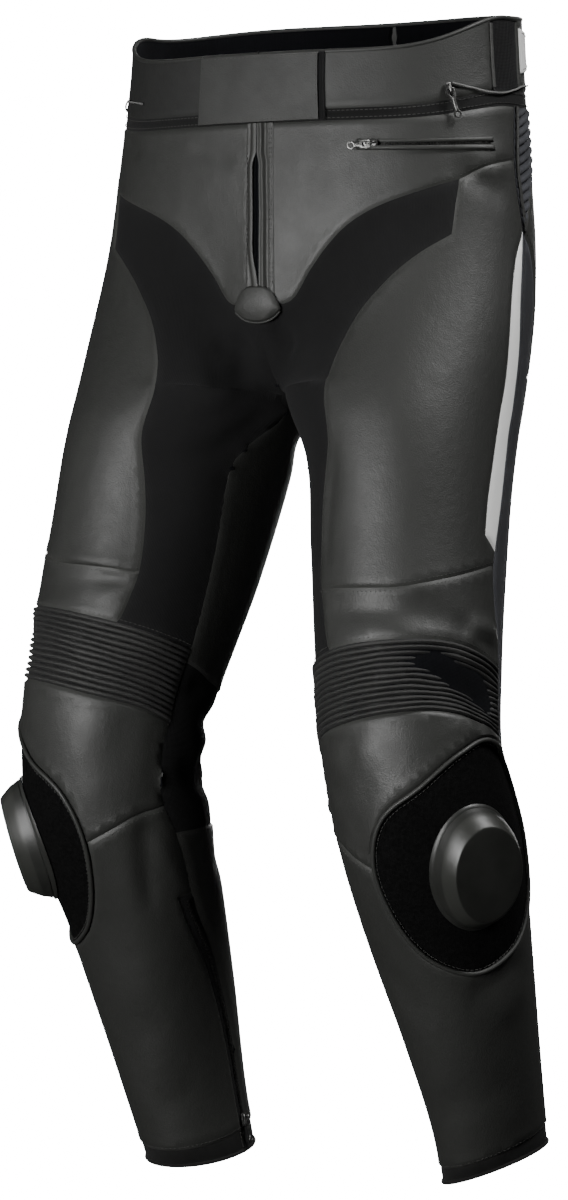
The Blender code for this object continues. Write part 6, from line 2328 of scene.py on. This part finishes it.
@dataclass
class ZipTeeth:
    """Rows of small teeth, one side's between the other's, along each zip."""

    bench: Bench
    long: float = 0.0021
    thick: float = 0.0009
    aside: float = 0.00045
    margin: float = 0.004
    pocket_sides: Place = (0.248, 0.436)
    pocket_pitch: float = 0.0014
    pitch: float = 0.0017
    calf_foot: float = 0.936
    fly_middle: float = 0.0035

    def row(self, name: str, half: Half, places: Array, pitch: float, level: float) -> None:
        """One zip's teeth as one piece.

        Args:
            name: the piece's name.
            half: the half.
            places: the zip's middle line on the chart.
            pitch: distance from a tooth to the next one.
            level: height of the teeth's middle over the form.
        """
        form = self.bench.form
        length = self.bench.length_along(half, places)
        spots = np.arange(0.5 * pitch, length[-1], pitch)
        c, depth = (np.interp(spots, length, places[:, k]) for k in (0, 1))
        middle = form.surface(half, c, depth, level)
        up = form.outward(half, np.abs(c), depth)
        run = unit(np.gradient(middle, axis=0))
        side = unit(np.cross(run, up))
        up = np.cross(side, run)
        middle = middle + side * (self.aside * np.where(np.arange(len(spots)) % 2, 1.0, -1.0))[:, None]
        signs = np.array([[x, y, z] for z in (-1, 1) for y in (-1, 1) for x in (-1, 1)], float)
        size = np.array([0.36 * pitch, 0.5 * self.long, 0.5 * self.thick])
        shrink = np.where(signs[:, 2:] > 0, (0.8, 0.86, 1.0), 1.0)
        local = signs * size * shrink
        points = (middle[:, None, :] + local[:, 0, None] * run[:, None, :] + local[:, 1, None] * side[:, None, :]
                  + local[:, 2, None] * up[:, None, :]).reshape(-1, 3)
        quads = np.array([[0, 2, 3, 1], [4, 5, 7, 6], [0, 1, 5, 4], [2, 6, 7, 3], [0, 4, 6, 2], [1, 3, 7, 5]])
        faces = (quads[None] + 8 * np.arange(len(spots))[:, None, None]).reshape(-1, 4)
        piece = outwards(MeshMaker.make(name, points, faces, [self.bench.wardrobe.of("teeth")], sharp=20.0))
        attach(piece, ROOT_BODY)

    def build(self) -> None:
        """Makes the teeth of the pocket, the calves and the fly."""
        c = np.linspace(*self.pocket_sides, 40)
        pocket = np.stack([c, 0.0797 + 0.0037 * (c - 0.211) / 0.229], axis=1)
        self.row("pocket_teeth", Half.LEFT, pocket, self.pocket_pitch, 0.0010)
        depth = np.linspace(ZIP_TOP + self.margin, self.calf_foot, 80)
        calf = np.stack([inseam(depth) + 0.5 * ZIP_WIDTH, depth], axis=1)
        for half in Half:
            self.row(f"calf_teeth_{half.word}", half, calf, self.pitch, 0.0006)
        depth = np.linspace(TAPE_LOW + self.margin, FLY_FOOT - self.margin, 40)
        fly = np.stack([np.full_like(depth, self.fly_middle), depth], axis=1)
        self.row("fly_teeth", Half.LEFT, fly, self.pitch, -0.0010)


@dataclass
class Stitches:
    """Rows of stitches beside the seams: one small rounded thread for each, sunk into the leather."""

    bench: Bench
    long: float = 0.0031
    pitch: float = 0.0041
    lead: float = 0.3
    radius: float = 0.00038
    sink: float = 0.00004
    dip: float = 0.00055
    level: float = 0.0003
    sides: int = 5
    laid: tuple[tuple[Place, Place, float], ...] = (
        ((-0.129, -0.0235), (-0.129, 0.0460), 0.0032), ((-0.127, 0.0465), (0.127, 0.0465), 0.0032),
        ((0.129, 0.0460), (0.129, -0.0235), 0.0032), ((0.127, -0.0240), (-0.127, -0.0240), 0.0032),
        ((0.0270, 0.0540), (0.0270, 0.2060), 0.0012), ((0.0225, 0.0540), (0.0225, 0.2060), 0.0012),
        ((-0.0150, 0.0540), (-0.0150, 0.2060), 0.0012),
        ((0.214, 0.0755), (0.438, 0.0795), 0.0021), ((0.214, 0.0846), (0.438, 0.0886), 0.0021),
        ((0.532, -0.0150), (0.596, -0.0110), 0.0026), ((0.532, 0.0170), (0.596, 0.0120), 0.0026))

    def row(self, half: Half, track: Array, aside: float, level: float) -> tuple[Array, Array] | None:
        """Start, middle and end of every stitch of a row.

        Args:
            half: the half.
            track: the seam's fine points.
            aside: distance from the seam, to its right as it runs.
            level: height of the thread's middle over the form.

        Returns:
            Points (stitches, 3, xyz) and the outward directions there.
        """
        form = self.bench.form
        places = Chart.offset(track, aside)
        length = self.bench.length_along(half, places)
        count = int(length[-1] / self.pitch)
        if count < 2:
            return None
        start = np.arange(count) * self.pitch + self.lead * self.pitch
        spots = start[:, None] + self.long * np.array([0.0, 0.5, 1.0])
        c, depth = (np.interp(spots, length, places[:, k]) for k in (0, 1))
        lift = level - self.sink + np.array([-self.dip, 0.0, -self.dip])
        up = form.outward(half, np.abs(c), depth)
        up[..., 0] *= np.where((c < 0) & (depth < CROTCH), -1, 1)
        return form.surface(half, c, depth, np.broadcast_to(lift, c.shape)), up

    def threads(self, path: Array, up: Array) -> tuple[Array, Array]:
        """The stitches' meshes: five-sided prisms with drawn-in ends, all at once.

        Args:
            path: points (stitches, 3, xyz).
            up: outward directions.

        Returns:
            Points and quads of every stitch.
        """
        run = np.repeat(unit(path[:, 2] - path[:, 0])[:, None, :], 3, axis=1)
        side = unit(np.cross(run, up))
        angle = np.linspace(0, 2 * np.pi, self.sides, endpoint=False)
        size = self.radius * np.array([0.45, 1.0, 0.45])
        ring = (side[:, :, None, :] * np.cos(angle)[:, None] + up[:, :, None, :] * np.sin(angle)[:, None])
        points = path[:, :, None, :] + ring * size[None, :, None, None]
        quads = MeshMaker.grid(3, self.sides, around=True)
        faces = (quads[None] + 3 * self.sides * np.arange(len(path))[:, None, None]).reshape(-1, 4)
        return points.reshape(-1, 3), faces

    def build(self) -> None:
        """Makes the stitches of each half as one piece."""
        for half in Half:
            rows = [(track.fine, aside, self.level) for track in self.bench.chart.tracks
                    for aside in track.line.stitched]
            if half is Half.LEFT:
                rows += [(Line("laid", [start, end]).sampled(0.002), 0.0, level) for start, end, level in self.laid]
            made = [stitches for stitches in (self.row(half, *row) for row in rows) if stitches is not None]
            paths, ups = zip(*made)
            points, faces = self.threads(np.concatenate(paths), np.concatenate(ups))
            piece = MeshMaker.make(f"stitches_{half.word}", points, faces, [self.bench.wardrobe.of("thread")],
                                   uv=points[:, :2])
            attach(piece, ROOT_BODY)
            LOG.info("%s: %d stitches", piece.name, len(points) // (3 * self.sides))


@dataclass(frozen=True)
class Lamp:
    """A soft rectangular light that is aimed at the garment.

    Its azimuth is in degrees to the right of the front and its height is over the garment's middle; then come how
    far away it stands, its width and height, and its power in watts.
    """

    name: str
    azimuth: float
    height: float
    away: float
    size: Place
    power: float


@dataclass
class Studio:
    """A plain pale floor and backdrop, soft light and the camera at the photograph's angle."""

    image: tuple[int, int] = (568, 1200)
    azimuth: float = 30.0
    distance: float = 4.6
    metres_per_pixel: float = 0.00088
    eye_height: float = -0.475
    axis_column: float = 330.0
    floor: float = -1.012
    floor_glow: float = 20.0
    surrounding: float = 0.035
    lamps: tuple[Lamp, ...] = (
        Lamp("key", -6.0, -0.1, 3.2, (1.3, 1.7), 155.0),
        Lamp("left_strip", -70.0, 0.4, 2.6, (0.5, 2.2), 4.0),
        Lamp("right_high", 95.0, 2.3, 1.8, (0.8, 0.8), 85.0),
        Lamp("back_fill", 205.0, 0.8, 3.2, (1.8, 1.8), 70.0),
    )

    def camera(self) -> None:
        """The camera, level and square to the view that the photograph has."""
        angle = math.radians(self.azimuth)
        right = Vector((math.cos(angle), math.sin(angle), 0))
        back = Vector((math.sin(angle), -math.cos(angle), 0))
        data = bpy.data.cameras.new("camera")
        data.sensor_fit = "VERTICAL"
        data.sensor_height = 36.0
        data.lens = data.sensor_height * self.distance / (self.image[1] * self.metres_per_pixel)
        eye = bpy.data.objects.new("camera", data)
        middle = right * ((self.image[0] / 2 - self.axis_column) * self.metres_per_pixel)
        eye.location = back * self.distance + middle + Vector((0, 0, self.eye_height))
        eye.rotation_mode = "QUATERNION"
        eye.rotation_quaternion = (-back).to_track_quat("-Z", "Y")
        data.clip_end = 60.0
        bpy.context.scene.collection.objects.link(eye)
        bpy.context.scene.camera = eye

    def backdrop(self) -> None:
        """A round pale floor that turns up into a wall far away on every side."""
        rings = np.array([0.0, 1.0, 4.0, 12.0, 20.0, 24.0, 26.5, 28.0, 28.8, 28.8])
        rise = np.array([0.0, 0.0, 0.0, 0.0, 0.0, 0.4, 1.6, 4.2, 8.5, 24.0])
        angle = np.linspace(0, 2 * np.pi, 64, endpoint=False)
        points = np.stack([rings[:, None] * np.cos(angle), rings[:, None] * np.sin(angle),
                           self.floor + np.broadcast_to(rise[:, None], (len(rings), len(angle)))], -1)
        knots = Knots("pale_floor")
        pale = knots.shade({"Base Color": (0.93, 0.93, 0.93, 1), "Roughness": 0.9,
                            "Emission Color": (1, 1, 1, 1), "Emission Strength": self.floor_glow})
        faces = MeshMaker.grid(len(rings), len(angle), around=True)
        floor = MeshMaker.make("floor", points.reshape(-1, 3), faces, [pale])
        bm = bmesh.new()
        bm.from_mesh(floor.data)
        bmesh.ops.remove_doubles(bm, verts=bm.verts, dist=1e-6)
        bm.to_mesh(floor.data)
        bm.free()
        floor.visible_diffuse = False
        floor.visible_glossy = False

    def light(self, lamp: Lamp) -> None:
        """Sets up one light.

        Args:
            lamp: the light.
        """
        data = bpy.data.lights.new(lamp.name, "AREA")
        data.shape = "RECTANGLE"
        data.size, data.size_y = lamp.size
        data.energy = lamp.power
        made = bpy.data.objects.new(lamp.name, data)
        angle = math.radians(lamp.azimuth)
        spot = Vector((math.sin(angle) * lamp.away, -math.cos(angle) * lamp.away, self.eye_height + lamp.height))
        made.location = spot
        made.rotation_mode = "QUATERNION"
        made.rotation_quaternion = (Vector((0, 0, self.eye_height)) - spot).to_track_quat("-Z", "Y")
        bpy.context.scene.collection.objects.link(made)

    def build(self) -> None:
        """Sets up camera, backdrop, light and a plain white surrounding."""
        self.camera()
        self.backdrop()
        world = bpy.data.worlds.new("studio")
        bpy.context.scene.world = world
        world.use_nodes = True
        around = world.node_tree.nodes["Background"].inputs
        around["Color"].default_value = (1, 1, 1, 1)
        around["Strength"].default_value = self.surrounding
        for lamp in self.lamps:
            self.light(lamp)


def main() -> None:
    """Builds the trousers' pieces in order, then the studio."""
    logging.basicConfig(level=logging.INFO, format="%(name)s: %(message)s")
    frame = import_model()
    form = Form()
    chart = Chart()
    bench = Bench(form, chart, {half: Skin(chart, form, half) for half in Half}, Wardrobe())
    joints = {joint["name"]: joint for joint in frame["joints"]}
    for assembly in (Panels(bench), RibbedPanels(bench), Puck(bench), Trim(bench), ZipHardware(bench, joints),
                     ZipTeeth(bench), Stitches(bench), Studio()):
        assembly.build()
        LOG.info("%s: done, %d objects so far", type(assembly).__name__, len(bpy.data.objects))


if __name__ == "__main__":
    main()
